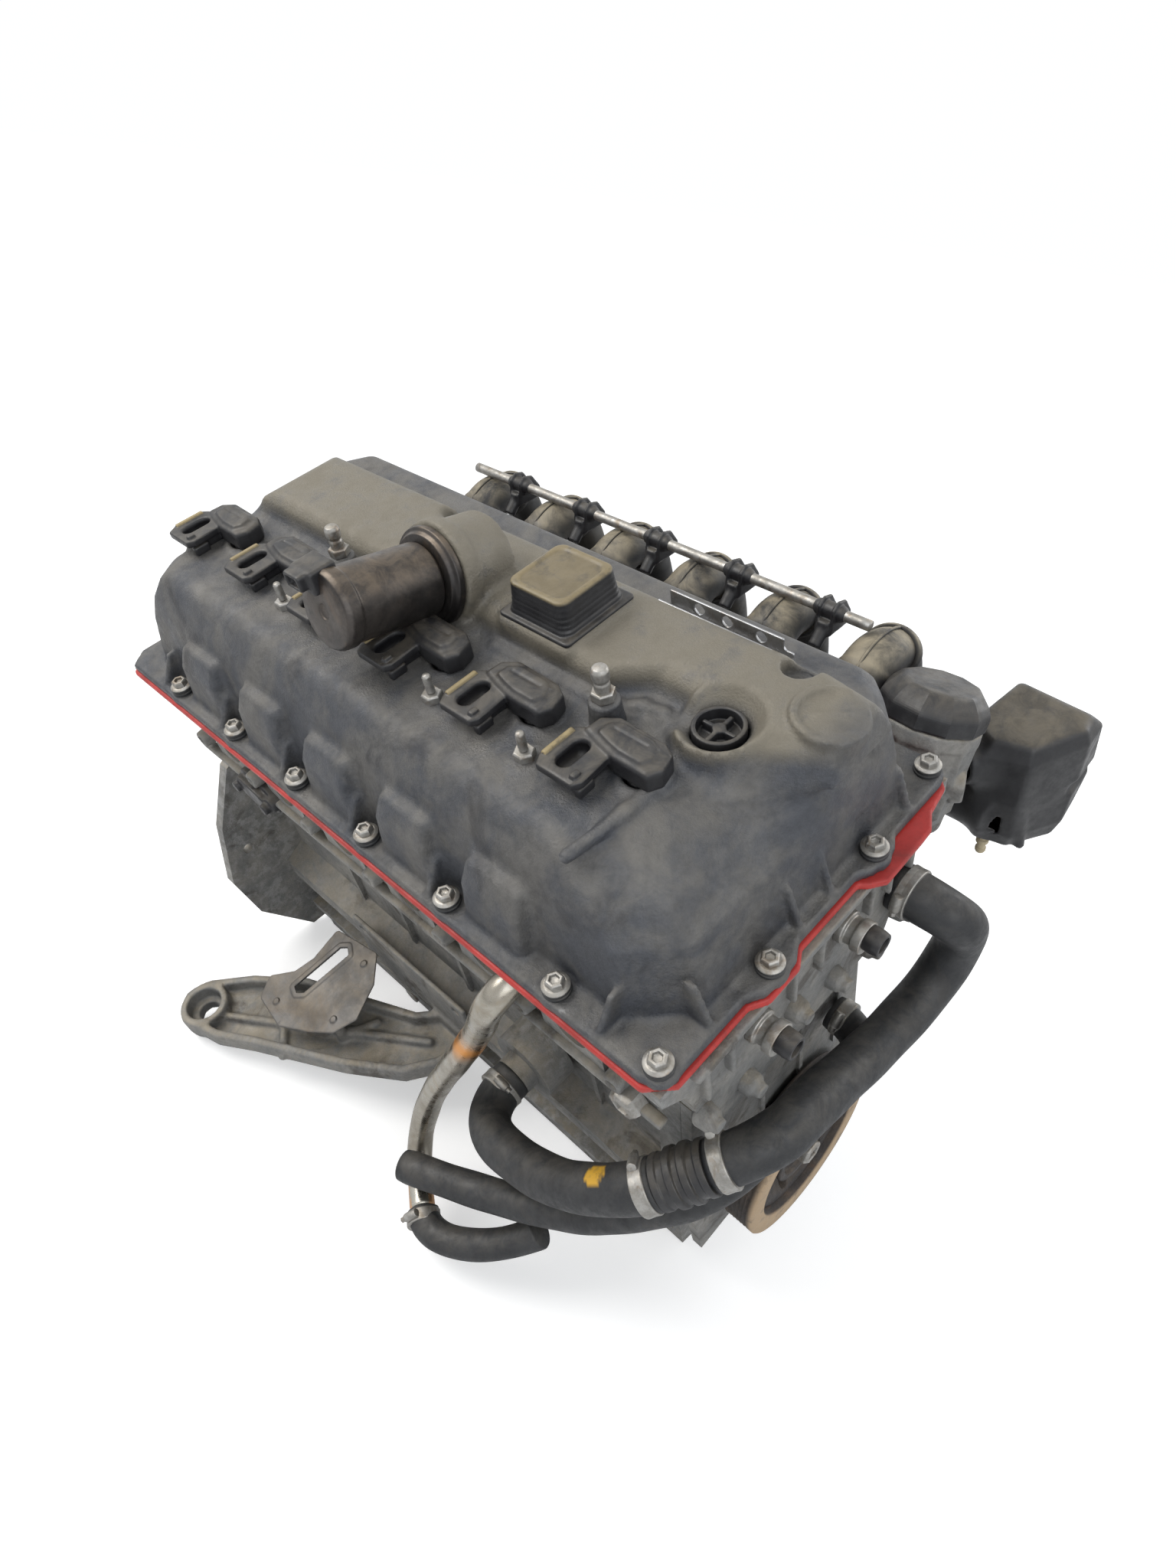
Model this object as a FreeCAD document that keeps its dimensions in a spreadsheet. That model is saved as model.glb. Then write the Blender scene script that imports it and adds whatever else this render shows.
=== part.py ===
"""Straight-six petrol engine, taken out of the car, as separate named pieces.

Frame: the origin is the centre of the crankshaft's rear flange face. The crank axis is Y and the
front of the engine, with the crank pulley, is towards -Y. +Z is up. The cylinders lean by
lean_angle towards -X, the exhaust side, and the intake side is towards +X.
Every piece is drawn upright, with its cylinder axes along Z, and is then leaned over as one.
"""
import FreeCAD, Part
import math
import os
import re
import Sketcher

Vector = FreeCAD.Vector

# Driving dimensions in millimetres, lengths ahead of the crank flange count towards the front
SIZES = {
    "lean_angle": 20,
    "cylinder_count": 6,
    "bore_radius": 42.5,
    "bore_spacing": 91,
    "throw_radius": 44,
    "rod_length": 135.6,
    "pin_to_crown": 31.8,
    "pin_to_skirt": 20,
    "running_gap": 0.3,
    "seat_gap": 0.3,
    "flange_to_last": 90,
    "deck_level": 212,
    "head_gasket_thickness": 1,
    "head_height": 120.5,
    "cover_gasket_thickness": 2.5,
    "front_wall_ahead": 651,
    "case_wall": 10,
    "case_back_ahead": 598,
    "chain_room": 20,
    "journal_radius": 28,
    "nose_radius": 15,
    "crank_pin_radius": 22.5,
    "web_thickness": 14,
    "pin_width": 28,
    "bay_radius": 74,
    "bulkhead": 24,
    "rail_half_width": 116,
    "bedplate_depth": 60,
    "sump_depth": 150,
    "pan_wall": 5,
    "pulley_radius": 85,
    "pulley_width": 30,
    "pulley_ahead": 632.5,
    "cam_offset": 70,
    "cam_level_over_head": 12,
    "cam_journal_radius": 14,
    "cam_base_radius": 17,
    "cam_lift": 9.7,
    "sprocket_radius": 17,
    "sprocket_width": 8,
    "chain_back": 2,
    "chain_thickness": 6,
    "cover_left": 149,
    "cover_right": 164,
    "cover_wall": 5,
    "flange_thickness": 9,
    "tray_over_flange": 92,
    "ridge_over_tray": 20,
    "valve_offset": 21,
    "valve_radius": 14,
    "coil_offset": 29,
    "stalk_radius": 11,
    "latch_behind": 33,
    "latch_left": 25,
    "motor_radius": 27,
    "motor_length": 104,
    "motor_tilt": 15,
    "motor_ahead": 316,
    "motor_side": 13,
    "motor_over_tray": 30,
    "filler_side": 60,
    "filler_across": 43,
    "filler_ahead": 412,
    "filler_height": 30,
    "port_radius": 16,
    "port_level": 52,
    "runner_radius": 19,
    "plenum_radius": 46,
    "throttle_radius": 32,
    "hose_radius": 19,
    "thin_hose_radius": 15,
    "sleeve_radius": 14,
    "arm_depth": 12,
    "arm_thickness": 24,
    "shield_slope": 0.25,
    "shield_thickness": 2,
    "pipe_radius": 12,
    "bolt_head_radius": 6.5,
}

doc = FreeCAD.newDocument("straight_six")
sheet = doc.addObject("Spreadsheet::Sheet", "Sizes")
for row, (alias, value) in enumerate(SIZES.items(), start=1):
    sheet.set(f"A{row}", alias)
    sheet.set(f"B{row}", str(value))
    sheet.setAlias(f"B{row}", alias)
doc.recompute()

LEAN = FreeCAD.Placement(Vector(0, 0, 0), FreeCAD.Rotation(Vector(0, 1, 0), -sheet.lean_angle))
CYLINDERS = range(1, sheet.cylinder_count + 1)
X_AXIS = Vector(1, 0, 0)
Y_AXIS = Vector(0, 1, 0)
Z_AXIS = Vector(0, 0, 1)
pieces = []


def formula(text):
    """An expression in plain aliases, with the sheet's name put before each alias."""
    return re.sub(r"[a-z][a-z_0-9]*", lambda word: "Sizes." + word.group()
                  if word.group() in SIZES else word.group(), str(text))


def bind(item, **properties):
    """Ties each property of an object to an expression of the sheet."""
    for name, text in properties.items():
        item.setExpression(name.replace("__", "."), formula(text))
    return item


def place(item, corner, direction=Z_AXIS):
    """Puts an object's own origin at a corner and its Z axis along a direction."""
    item.Placement = FreeCAD.Placement(Vector(0, 0, 0), FreeCAD.Rotation(Z_AXIS, direction))
    for axis, text in zip("xyz", corner):
        item.setExpression("Placement.Base." + axis, formula(text))
    return item


def box(name, corner, size):
    """A block from its lowest corner."""
    item = doc.addObject("Part::Box", name)
    bind(item, Length=size[0], Width=size[1], Height=size[2])
    return place(item, corner)


def rod(name, base, radius, length, direction=Z_AXIS):
    """A cylinder from the centre of its base, along a direction."""
    item = doc.addObject("Part::Cylinder", name)
    bind(item, Radius=radius, Height=length)
    return place(item, base, direction)


def taper(name, base, radii, length, direction=Z_AXIS):
    """A cone frustum from the centre of its base."""
    item = doc.addObject("Part::Cone", name)
    bind(item, Radius1=radii[0], Radius2=radii[1], Height=length)
    return place(item, base, direction)


def fuse(name, members):
    """One solid from members that overlap."""
    item = doc.addObject("Part::MultiFuse", name)
    item.Shapes = members
    item.Refine = True
    return item


def group(name, members):
    """Several solids as one object."""
    item = doc.addObject("Part::Compound", name)
    item.Links = members
    return item


def cut(name, base, tools):
    """The base less its tools."""
    item = doc.addObject("Part::Cut", name)
    item.Base = base
    item.Tool = tools[0] if len(tools) == 1 else group(name + "_tools", tools)
    item.Refine = True
    return item


def outline(sketch, corners):
    """A closed chain of lines through corners, each corner held by two bound distances."""
    count = len(corners)
    start = [Vector(100 * math.cos(2 * math.pi * k / count), 100 * math.sin(2 * math.pi * k / count), 0)
             for k in range(count)]
    for k in range(count):
        sketch.addGeometry(Part.LineSegment(start[k], start[(k + 1) % count]), False)
    for k in range(count):
        sketch.addConstraint(Sketcher.Constraint("Coincident", k, 2, (k + 1) % count, 1))
    for k, corner in enumerate(corners):
        for kind, text, at in (("DistanceX", corner[0], start[k].x), ("DistanceY", corner[1], start[k].y)):
            index = sketch.addConstraint(Sketcher.Constraint(kind, -1, 1, k, 1, at))
            sketch.setExpression(f"Constraints[{index}]", formula(text))


def body_sketch(body, name, plane, offset):
    """An empty sketch on one of a body's own origin planes, moved along its normal."""
    sketch = body.newObject("Sketcher::SketchObject", name)
    support = [item for item in body.Origin.OriginFeatures if item.Role == plane][0]
    sketch.AttachmentSupport = [(support, "")]
    sketch.MapMode = "FlatFace"
    sketch.setExpression("AttachmentOffset.Base.z", formula(offset))
    return sketch


def prism(name, plane, corners, offset, length):
    """A padded profile. On XZ_Plane it runs ahead, on XY_Plane up, on YZ_Plane to +X."""
    body = doc.addObject("PartDesign::Body", name)
    sketch = body_sketch(body, name + "_profile", plane, offset)
    outline(sketch, corners)
    pad = body.newObject("PartDesign::Pad", name + "_pad")
    pad.Profile = sketch
    bind(pad, Length=length)
    return body


def turned(name, corners):
    """A profile of radius and distance ahead, turned about the crank axis."""
    body = doc.addObject("PartDesign::Body", name)
    sketch = body_sketch(body, name + "_profile", "YZ_Plane", "0")
    outline(sketch, [(f"-({ahead})", radius) for radius, ahead in corners])
    turn = body.newObject("PartDesign::Revolution", name + "_turn")
    turn.Profile = sketch
    turn.ReferenceAxis = (sketch, ["H_Axis"])
    turn.Angle = 360
    return body


def plan_loft(name, levels):
    """A ruled loft between plans at rising levels. Each plan is a list of x and ahead."""
    sections = []
    for count, (level, corners) in enumerate(levels):
        sketch = doc.addObject("Sketcher::SketchObject", f"{name}_plan_{count}")
        outline(sketch, [(x, f"-({ahead})") for x, ahead in corners])
        sketch.setExpression("Placement.Base.z", formula(level))
        sections.append(sketch)
    item = doc.addObject("Part::Loft", name)
    item.Sections = sections
    item.Solid = True
    item.Ruled = True
    return item


def drawn(name, shape):
    """A shape made by Part's functions from sizes that were read from the sheet."""
    item = doc.addObject("Part::Feature", name)
    item.Shape = shape
    return item


def tube_solid(points, radius):
    """A round bar along straight runs joined by tangent arcs, as large as the runs beside allow."""
    solids = []
    start = points[0]
    heading = (points[1] - start).normalize()
    for before, here, after in zip(points, points[1:], points[2:]):
        back = (before - here).normalize()
        onward = (after - here).normalize()
        turn = math.pi - back.getAngle(onward)
        reach = 0.45 * min((before - here).Length, (after - here).Length)
        entry = here + back * reach
        leave = here + onward * reach
        bend = reach / math.tan(turn / 2)
        centre = here + (back + onward).normalize() * (bend / math.cos(turn / 2))
        disc = Part.Face(Part.Wire([Part.Circle(start, heading, radius).toShape()]))
        solids.append(disc.extrude(entry - start))
        disc = Part.Face(Part.Wire([Part.Circle(entry, heading, radius).toShape()]))
        solids.append(disc.revolve(centre, heading.cross(onward), math.degrees(turn)))
        start = leave
        heading = onward
    disc = Part.Face(Part.Wire([Part.Circle(start, heading, radius).toShape()]))
    solids.append(disc.extrude(points[-1] - start))
    return solids[0].multiFuse(solids[1:])


def tube(name, points, radius, inner=0):
    """A hose or pipe along a route, hollow where an inner radius is given."""
    solid = tube_solid(points, radius)
    if inner:
        solid = solid.cut(tube_solid(points, inner))
    return drawn(name, solid)


def piece(label, members):
    """One sub-part of the engine, leaned over with the rest."""
    item = group(label + "_piece", members)
    item.Label = label
    item.Placement = LEAN
    pieces.append(item)
    return item


def cylinder_ahead(number):
    """How far ahead of the crank flange a cylinder's centre lies, as an expression."""
    return f"(flange_to_last + bore_spacing * (cylinder_count - {number}))"


def throw_angle(number):
    """A crank throw's angle from the cylinder axis, for a straight six fired 1-5-3-6-2-4."""
    return {1: 0, 6: 0, 2: 120, 5: 120, 3: 240, 4: 240}[number]


HEAD_TOP = "(deck_level + head_gasket_thickness + head_height)"
FLANGE_BASE = f"({HEAD_TOP} + cover_gasket_thickness)"
FLANGE_TOP = f"({FLANGE_BASE} + flange_thickness)"
TRAY = f"({FLANGE_TOP} + tray_over_flange)"
RIDGE = f"({TRAY} + ridge_over_tray)"
CAM_LEVEL = f"({HEAD_TOP} + cam_level_over_head)"
CASE_BACK = "case_back_ahead"
BLOCK_FRONT = "(case_back_ahead + chain_room + case_wall)"
HEAD_BASE = "(deck_level + head_gasket_thickness)"


# Crankcase: open-deck bores above bulkheads that carry the upper half of each main bearing
def crankcase():
    walls = [("-rail_half_width", 0), ("-rail_half_width", 12), ("-bay_radius - 16", 26),
             ("-bay_radius - 14", 66),
             ("-bore_radius - 20", 104), ("-bore_radius - 18", 188), ("-100", 200), ("-100", "deck_level"),
             ("100", "deck_level"), ("100", 200), ("bore_radius + 18", 188), ("bore_radius + 20", 104),
             ("bay_radius + 14", 66), ("bay_radius + 16", 26), ("rail_half_width", 12),
             ("rail_half_width", 0)]
    casting = prism("crankcase_walls", "XZ_Plane", walls, "4", f"{CASE_BACK} - 4")
    case = prism("crankcase_chain_case", "XZ_Plane",
                 [("-rail_half_width", 0), ("-rail_half_width", 30), ("-104", "deck_level"),
                  ("104", "deck_level"),
                  ("rail_half_width", 30), ("rail_half_width", 0)],
                 f"{CASE_BACK} - 2", "chain_room + 2 - seat_gap")
    ribs = []
    for number in CYLINDERS[:-1]:
        ahead = f"{cylinder_ahead(number)} - bore_spacing / 2"
        for side, corner in (("left", "-bay_radius - 20"), ("right", "bore_radius + 14")):
            ribs.append(box(f"crankcase_rib_{side}_{number}", (corner, f"-({ahead}) - 3", 20),
                            ("bay_radius - bore_radius + 6", 6, 172)))
    hollows = [rod("crankcase_main_bore", (0, 1, 0), "journal_radius + running_gap", "front_wall_ahead + 2",
                   -Y_AXIS)]
    for number in CYLINDERS:
        ahead = cylinder_ahead(number)
        hollows.append(rod(f"crankcase_bore_{number}", (0, f"-({ahead})", "bay_radius / 2"),
                           "bore_radius + running_gap", "deck_level"))
        hollows.append(rod(f"crankcase_bay_{number}", (0, f"-({ahead}) + (bore_spacing - bulkhead) / 2", 0),
                           "bay_radius", "bore_spacing - bulkhead", -Y_AXIS))
    hollows.append(prism("crankcase_chain_room", "XZ_Plane",
                         [("-60", -1), ("-94", "deck_level + 1"), ("94", "deck_level + 1"), ("60", -1)],
                         CASE_BACK, "chain_room + 1"))
    hollows.append(rod("crankcase_seal_pocket", (0, 1, 0), "journal_radius + 12", 14, -Y_AXIS))
    piece("crankcase", [cut("crankcase_cut", fuse("crankcase_cast", [casting, case] + ribs), hollows)])


# Bedplate: carries the lower halves of the main bearings and closes the crankcase
def bedplate():
    walls = [("-rail_half_width", "-seat_gap"), ("-rail_half_width", -12), ("-bay_radius - 22", -20),
             ("-bay_radius - 18", "-bedplate_depth"), ("bay_radius + 18", "-bedplate_depth"),
             ("bay_radius + 22", -20), ("rail_half_width", -12), ("rail_half_width", "-seat_gap")]
    casting = prism("bedplate_walls", "XZ_Plane", walls, "4", f"{CASE_BACK} + chain_room - seat_gap - 4")
    hollows = [rod("bedplate_main_bore", (0, 1, 0), "journal_radius + running_gap", "front_wall_ahead + 2",
                   -Y_AXIS),
               rod("bedplate_seal_pocket", (0, 1, 0), "journal_radius + 12", 14, -Y_AXIS),
               box("bedplate_chain_room", (-60, f"-({CASE_BACK} + chain_room + 1)", "-bedplate_depth - 1"),
                   (120, "chain_room + 1", "bedplate_depth + 2"))]
    for number in CYLINDERS:
        hollows.append(rod(f"bedplate_bay_{number}",
                           (0, f"-({cylinder_ahead(number)}) + (bore_spacing - bulkhead) / 2", 0),
                           "bay_radius", "bore_spacing - bulkhead", -Y_AXIS))
    piece("bedplate", [cut("bedplate_cut", casting, hollows)])


# Oil sump: level underneath when the engine leans, so it is deeper on the intake side
def sump_floor(x, wall=0):
    """Height of the level floor line at a lateral place."""
    return f"-(sump_depth - ({wall}) + sin(lean_angle) * ({x})) / cos(lean_angle)"


DRAIN_AT = "-case_back_ahead / 3"


def oil_sump():
    top = "-bedplate_depth - seat_gap"
    outer = [("-rail_half_width", top), ("-rail_half_width", f"{top} - 10"), ("-108", f"{top} - 12"),
             ("-108", sump_floor("-108")), ("96", sump_floor("96")), ("100", f"{top} - 14"),
             ("108", f"{top} - 10"), ("108", top)]
    left = "-108 + pan_wall"
    right = "92 - pan_wall"
    inner = [(left, f"{top} + 1"), (left, sump_floor(left, "pan_wall")),
             (right, sump_floor(right, "pan_wall")), (right, f"{top} + 1")]
    pan = prism("oil_sump_outer", "XZ_Plane", outer, "14", f"{CASE_BACK} - 14")
    room = prism("oil_sump_room", "XZ_Plane", inner, "14 + 2 * pan_wall",
                 f"{CASE_BACK} - 14 - 4 * pan_wall")
    drain = rod("oil_sump_drain", (-112, DRAIN_AT, -88), 6.5, 20, X_AXIS)
    piece("oil_sump", [cut("oil_sump_cut", pan, [room, drain])])
    head = rod("drain_plug_head", ("-108 - seat_gap", DRAIN_AT, -88), 10, 7, -X_AXIS)
    thread = rod("drain_plug_thread", (-109, DRAIN_AT, -88), "6.5 - seat_gap", 10, X_AXIS)
    piece("drain_plug", [fuse("drain_plug_solid", [head, thread])])


# Rear flange: the rim that the gearbox bolts to
def bellhousing_flange():
    rim = prism("bellhousing_rim", "XZ_Plane",
                [("-126", "-106"), ("-172", "-30"), ("-181", 34), ("-160", 110), ("-123", 176),
                 ("-60", 208),
                 ("60", 208), ("123", 176), ("160", 110), ("181", 34), ("172", "-30"), ("126", "-106")],
                "-10", "14 - seat_gap")
    tools = [rod("bellhousing_crank_room", (0, 11, 0), "journal_radius + 26", 16, -Y_AXIS)]
    for number in range(3):
        for side in (-1, 1):
            angle = math.radians(24 + 40 * number)
            x = side * 160 * math.cos(angle)
            z = 160 * math.sin(angle)
            tools.append(rod(f"bellhousing_hole_{number}_{side + 1}", (x, 11, z), 6.5, 16, -Y_AXIS))
    piece("bellhousing_flange", [cut("bellhousing_cut", rim, tools)])


# Timing cover: front wall of the chain case, with the crank seal bore
def timing_cover():
    plate = prism("timing_cover_plate", "XZ_Plane",
                  [("-112", "-bedplate_depth"), ("-rail_half_width", 20), ("-104", "deck_level"),
                   ("104", "deck_level"), ("rail_half_width", 20), ("112", "-bedplate_depth")],
                  f"{CASE_BACK} + chain_room", "case_wall")
    members = [plate, rod("timing_cover_boss", (0, f"-{BLOCK_FRONT} + 1", 0), 46, 4, -Y_AXIS)]
    for count, x in enumerate((-78, -26, 26, 78)):
        members.append(box(f"timing_cover_rib_{count}", (x - 2.5, f"-{BLOCK_FRONT} - 3", 52), (5, 4, 150)))
    seal = rod("timing_cover_seal_bore", (0, f"-{BLOCK_FRONT} + 20", 0), "nose_radius + running_gap", 60,
               -Y_AXIS)
    piece("timing_cover", [cut("timing_cover_cut", fuse("timing_cover_cast", members), [seal])])


def deck_plan(inset):
    """Plan of the joint between block and head, as a profile on XY_Plane."""
    return [(f"-100 + {inset}", f"-8 - {inset}"), (f"-100 + {inset}", f"-{BLOCK_FRONT} + {inset}"),
            (f"100 - {inset}", f"-{BLOCK_FRONT} + {inset}"), (f"100 - {inset}", f"-8 - {inset}")]


def head_gasket():
    sheet_metal = prism("head_gasket_sheet", "XY_Plane", deck_plan("1"), "deck_level",
                        "head_gasket_thickness")
    holes = [rod(f"head_gasket_hole_{number}", (0, f"-({cylinder_ahead(number)})", "deck_level - 1"),
                 "bore_radius + 1", 4) for number in CYLINDERS]
    holes.append(box("head_gasket_chain_hole", (-86, f"-({CASE_BACK} + chain_room)", "deck_level - 1"),
                     (172, "chain_room", 4)))
    piece("head_gasket", [cut("head_gasket_cut", sheet_metal, holes)])


# Cylinder head: cam troughs, chain tunnel, plug wells, ports and their flange pads
def plug_axis():
    """Direction of a spark plug and its coil, which lean from the bore centre to the coil row."""
    rise = sheet.head_height + sheet.tray_over_flange
    return Vector(-sheet.coil_offset, 0, rise).normalize()


def plug_point(number, along):
    """A point on a cylinder's plug axis, counted up from the head's lower face."""
    at = plug_axis() * along
    return (at.x, f"-({cylinder_ahead(number)})", f"{HEAD_BASE} + {at.z}")


def valve_axes(number):
    """Label, foot and direction of the four valves of a cylinder, leaning towards their cams."""
    axes = []
    for side, sign in (("exhaust", -1), ("intake", 1)):
        heading = Vector(sign * (sheet.cam_offset - sheet.valve_offset), 0,
                         sheet.head_height + sheet.cam_level_over_head).normalize()
        for count, shift in enumerate((-17, 17)):
            base = (f"{sign} * valve_offset", f"-({cylinder_ahead(number)}) + {shift}", f"{HEAD_BASE} + 5")
            axes.append((f"{side}_{number}_{count}", base, heading))
    return axes


def valves():
    members = []
    for number in CYLINDERS:
        for label, base, heading in valve_axes(number):
            foot = rod(f"valve_head_{label}", base, "valve_radius", 3.2, heading)
            stem = rod(f"valve_stem_{label}", base, 3, "head_height - 28", heading)
            members.append(fuse(f"valve_{label}", [foot, stem]))
    piece("valves", members)


def cylinder_head():
    profile = [("-100", HEAD_BASE), ("-118", f"{HEAD_BASE} + 48"), ("-126", f"{HEAD_BASE} + 88"),
               ("-cover_left + 2", f"{HEAD_TOP} - 14"), ("-cover_left + 2", HEAD_TOP),
               ("cover_right - 2", HEAD_TOP), ("cover_right - 2", f"{HEAD_TOP} - 14"),
               ("130", f"{HEAD_BASE} + 88"), ("118", f"{HEAD_BASE} + 48"), ("100", HEAD_BASE)]
    casting = prism("cylinder_head_cast", "XZ_Plane", profile, "2", "front_wall_ahead - 4")
    tools = []
    for side, sign in (("exhaust", -1), ("intake", 1)):
        tools.append(box(f"cylinder_head_trough_{side}",
                         (f"{sign} * cam_offset - cam_base_radius - cam_lift - 6", f"-({CASE_BACK} + 1)",
                          f"{CAM_LEVEL} - cam_base_radius - cam_lift - 14"),
                         ("2 * (cam_base_radius + cam_lift + 6)", f"{CASE_BACK} - 14", 80)))
    solids = [cut("cylinder_head_troughs", casting, tools),
              rod("cylinder_head_plug_boss", (-96, -600, 240), 18, 30, -X_AXIS)]
    tools = [rod("cylinder_head_plug_thread", (-112, -600, 240), 8, 16, -X_AXIS)]
    for side, sign in (("exhaust", -1), ("intake", 1)):
        for number in range(sheet.cylinder_count + 1):
            ahead = f"flange_to_last + bore_spacing * ({number} - 0.5) - 7"
            solids.append(box(f"cylinder_head_tower_{side}_{number}",
                              (f"{sign} * cam_offset - cam_journal_radius - 9", f"-({ahead}) - 14",
                               f"{HEAD_BASE} + 60"),
                              ("2 * (cam_journal_radius + 9)", 14,
                               f"{CAM_LEVEL} + cam_journal_radius + 7 - {HEAD_BASE} - 60")))
        tools.append(rod(f"cylinder_head_cam_bore_{side}",
                         (f"{sign} * cam_offset", -10, CAM_LEVEL), "cam_journal_radius + running_gap",
                         "front_wall_ahead - 30", -Y_AXIS))
    for number in CYLINDERS:
        ahead = cylinder_ahead(number)
        tools.append(rod(f"cylinder_head_well_{number}", plug_point(number, 18), "stalk_radius + 1.5",
                         "head_height + 20", plug_axis()))
        tools.append(rod(f"cylinder_head_plug_bore_{number}", plug_point(number, -3), "7 + seat_gap", 30,
                         plug_axis()))
        for label, base, heading in valve_axes(number):
            tools.append(rod(f"cylinder_head_guide_{label}", base, 3.3, 110, heading))
            mouth = tuple(f"{text} - {10 * along}" for text, along in zip(base, heading))
            tools.append(rod(f"cylinder_head_seat_{label}", mouth, "valve_radius + seat_gap", 13.5,
                             heading))
        solids.append(box(f"cylinder_head_exhaust_pad_{number}",
                          (-130, f"-({ahead}) - 30", f"{HEAD_BASE} + port_level - 24"),
                          (30, 60, 48)))
        tools.append(rod(f"cylinder_head_exhaust_port_{number}",
                         (-131, f"-({ahead})", f"{HEAD_BASE} + port_level"),
                         "port_radius", 70, X_AXIS))
        solids.append(box(f"cylinder_head_intake_pad_{number}",
                          (104, f"-({ahead}) - 30", f"{HEAD_BASE} + port_level - 24"),
                          (30, 60, 48)))
        tools.append(rod(f"cylinder_head_intake_port_{number}",
                         (135, f"-({ahead})", f"{HEAD_BASE} + port_level"),
                         "port_radius", 70, -X_AXIS))
    tools.append(prism("cylinder_head_chain_tunnel", "XZ_Plane",
                       [("-84", f"{HEAD_BASE} - 1"), ("-100", f"{HEAD_BASE} + 52"),
                        ("-113", f"{HEAD_BASE} + 92"),
                        ("-120", f"{HEAD_TOP} + 1"), ("120", f"{HEAD_TOP} + 1"),
                        ("113", f"{HEAD_BASE} + 92"),
                        ("100", f"{HEAD_BASE} + 52"), ("84", f"{HEAD_BASE} - 1")],
                       CASE_BACK, f"front_wall_ahead - case_wall - {CASE_BACK}"))
    piece("cylinder_head", [cut("cylinder_head_cut", fuse("cylinder_head_solids", solids), tools)])


def flange_plan(inset):
    """Plan of the cam cover's flange, with chamfered corners and the widened front bays."""
    left = f"-cover_left + {inset}"
    right = f"cover_right - {inset}"
    front = f"front_wall_ahead - {inset}"
    return [(left, f"14 + {inset}"), (left, f"{front} - 14"), (f"{left} + 14", front), ("-70", front),
            ("-58", f"{front} + 7"), ("-30", f"{front} + 7"), ("-18", front), ("46", front),
            ("56", f"{front} + 6"), ("80", f"{front} + 6"), ("90", front), (f"{right} - 14", front),
            (right, f"{front} - 14"), (right, f"14 + {inset}"), (f"{right} - 14", f"{inset}"),
            (f"{left} + 14", f"{inset}")]


def cover_gasket():
    band = plan_loft("cover_gasket_band", [(f"{HEAD_TOP}", flange_plan(0)),
                                           (f"{FLANGE_BASE}", flange_plan(0))])
    window = plan_loft("cover_gasket_window", [(f"{HEAD_TOP} - 1", flange_plan(14)),
                                               (f"{FLANGE_BASE} + 1", flange_plan(14))])
    piece("cover_gasket", [cut("cover_gasket_cut", band, [window])])


def wall_plan(left, right, front_left, front_middle, front_right, back):
    """Plan of the cover's walls at one level."""
    return [(f"-({left})", back), (f"-({left})", f"{front_left} - 24"), (f"-({left}) + 26", front_left),
            ("-10", front_middle), ("34", front_right), (f"{right} - 30", front_right),
            (right, f"{front_right} - 26"), (right, back)]


def cover_levels(wall):
    """Levels and plans of the cover's outer face, or of its inner face a wall further in."""
    front = f"(front_wall_ahead - {wall})"
    return [(f"{FLANGE_TOP} - 1 - {wall} * 4",
             wall_plan(f"cover_left - 24 - {wall}", f"cover_right - 25 - {wall}", f"{front} - 13",
                       f"{front} - 13",
                       f"{front} - 13", f"20 + {wall}")),
            (f"{FLANGE_TOP} + 0.52 * tray_over_flange - {wall}",
             wall_plan(f"cover_left - 30 - {wall}", f"cover_right - 27 - {wall}", f"{front} - 22",
                       f"{front} - 18",
                       f"{front} - 14", f"28 + {wall}")),
            (f"{TRAY} - {wall}",
             wall_plan(f"cover_left - 52 - {wall}", f"cover_right - 38 - {wall}", f"{front} - 92",
                       f"{front} - 80",
                       f"{front} - 15", f"50 + {wall}"))]


def motor_direction():
    """Direction of the lift motor, out of the cover towards the exhaust side and up."""
    tilt = math.radians(sheet.motor_tilt)
    return Vector(-math.cos(tilt), 0, math.sin(tilt))


def motor_place(out=0.0):
    """A point on the lift motor's axis, counted outward from its flange."""
    at = motor_direction() * out
    return (f"motor_side + {at.x}", "-motor_ahead", f"{TRAY} + motor_over_tray + {at.z}")


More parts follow.
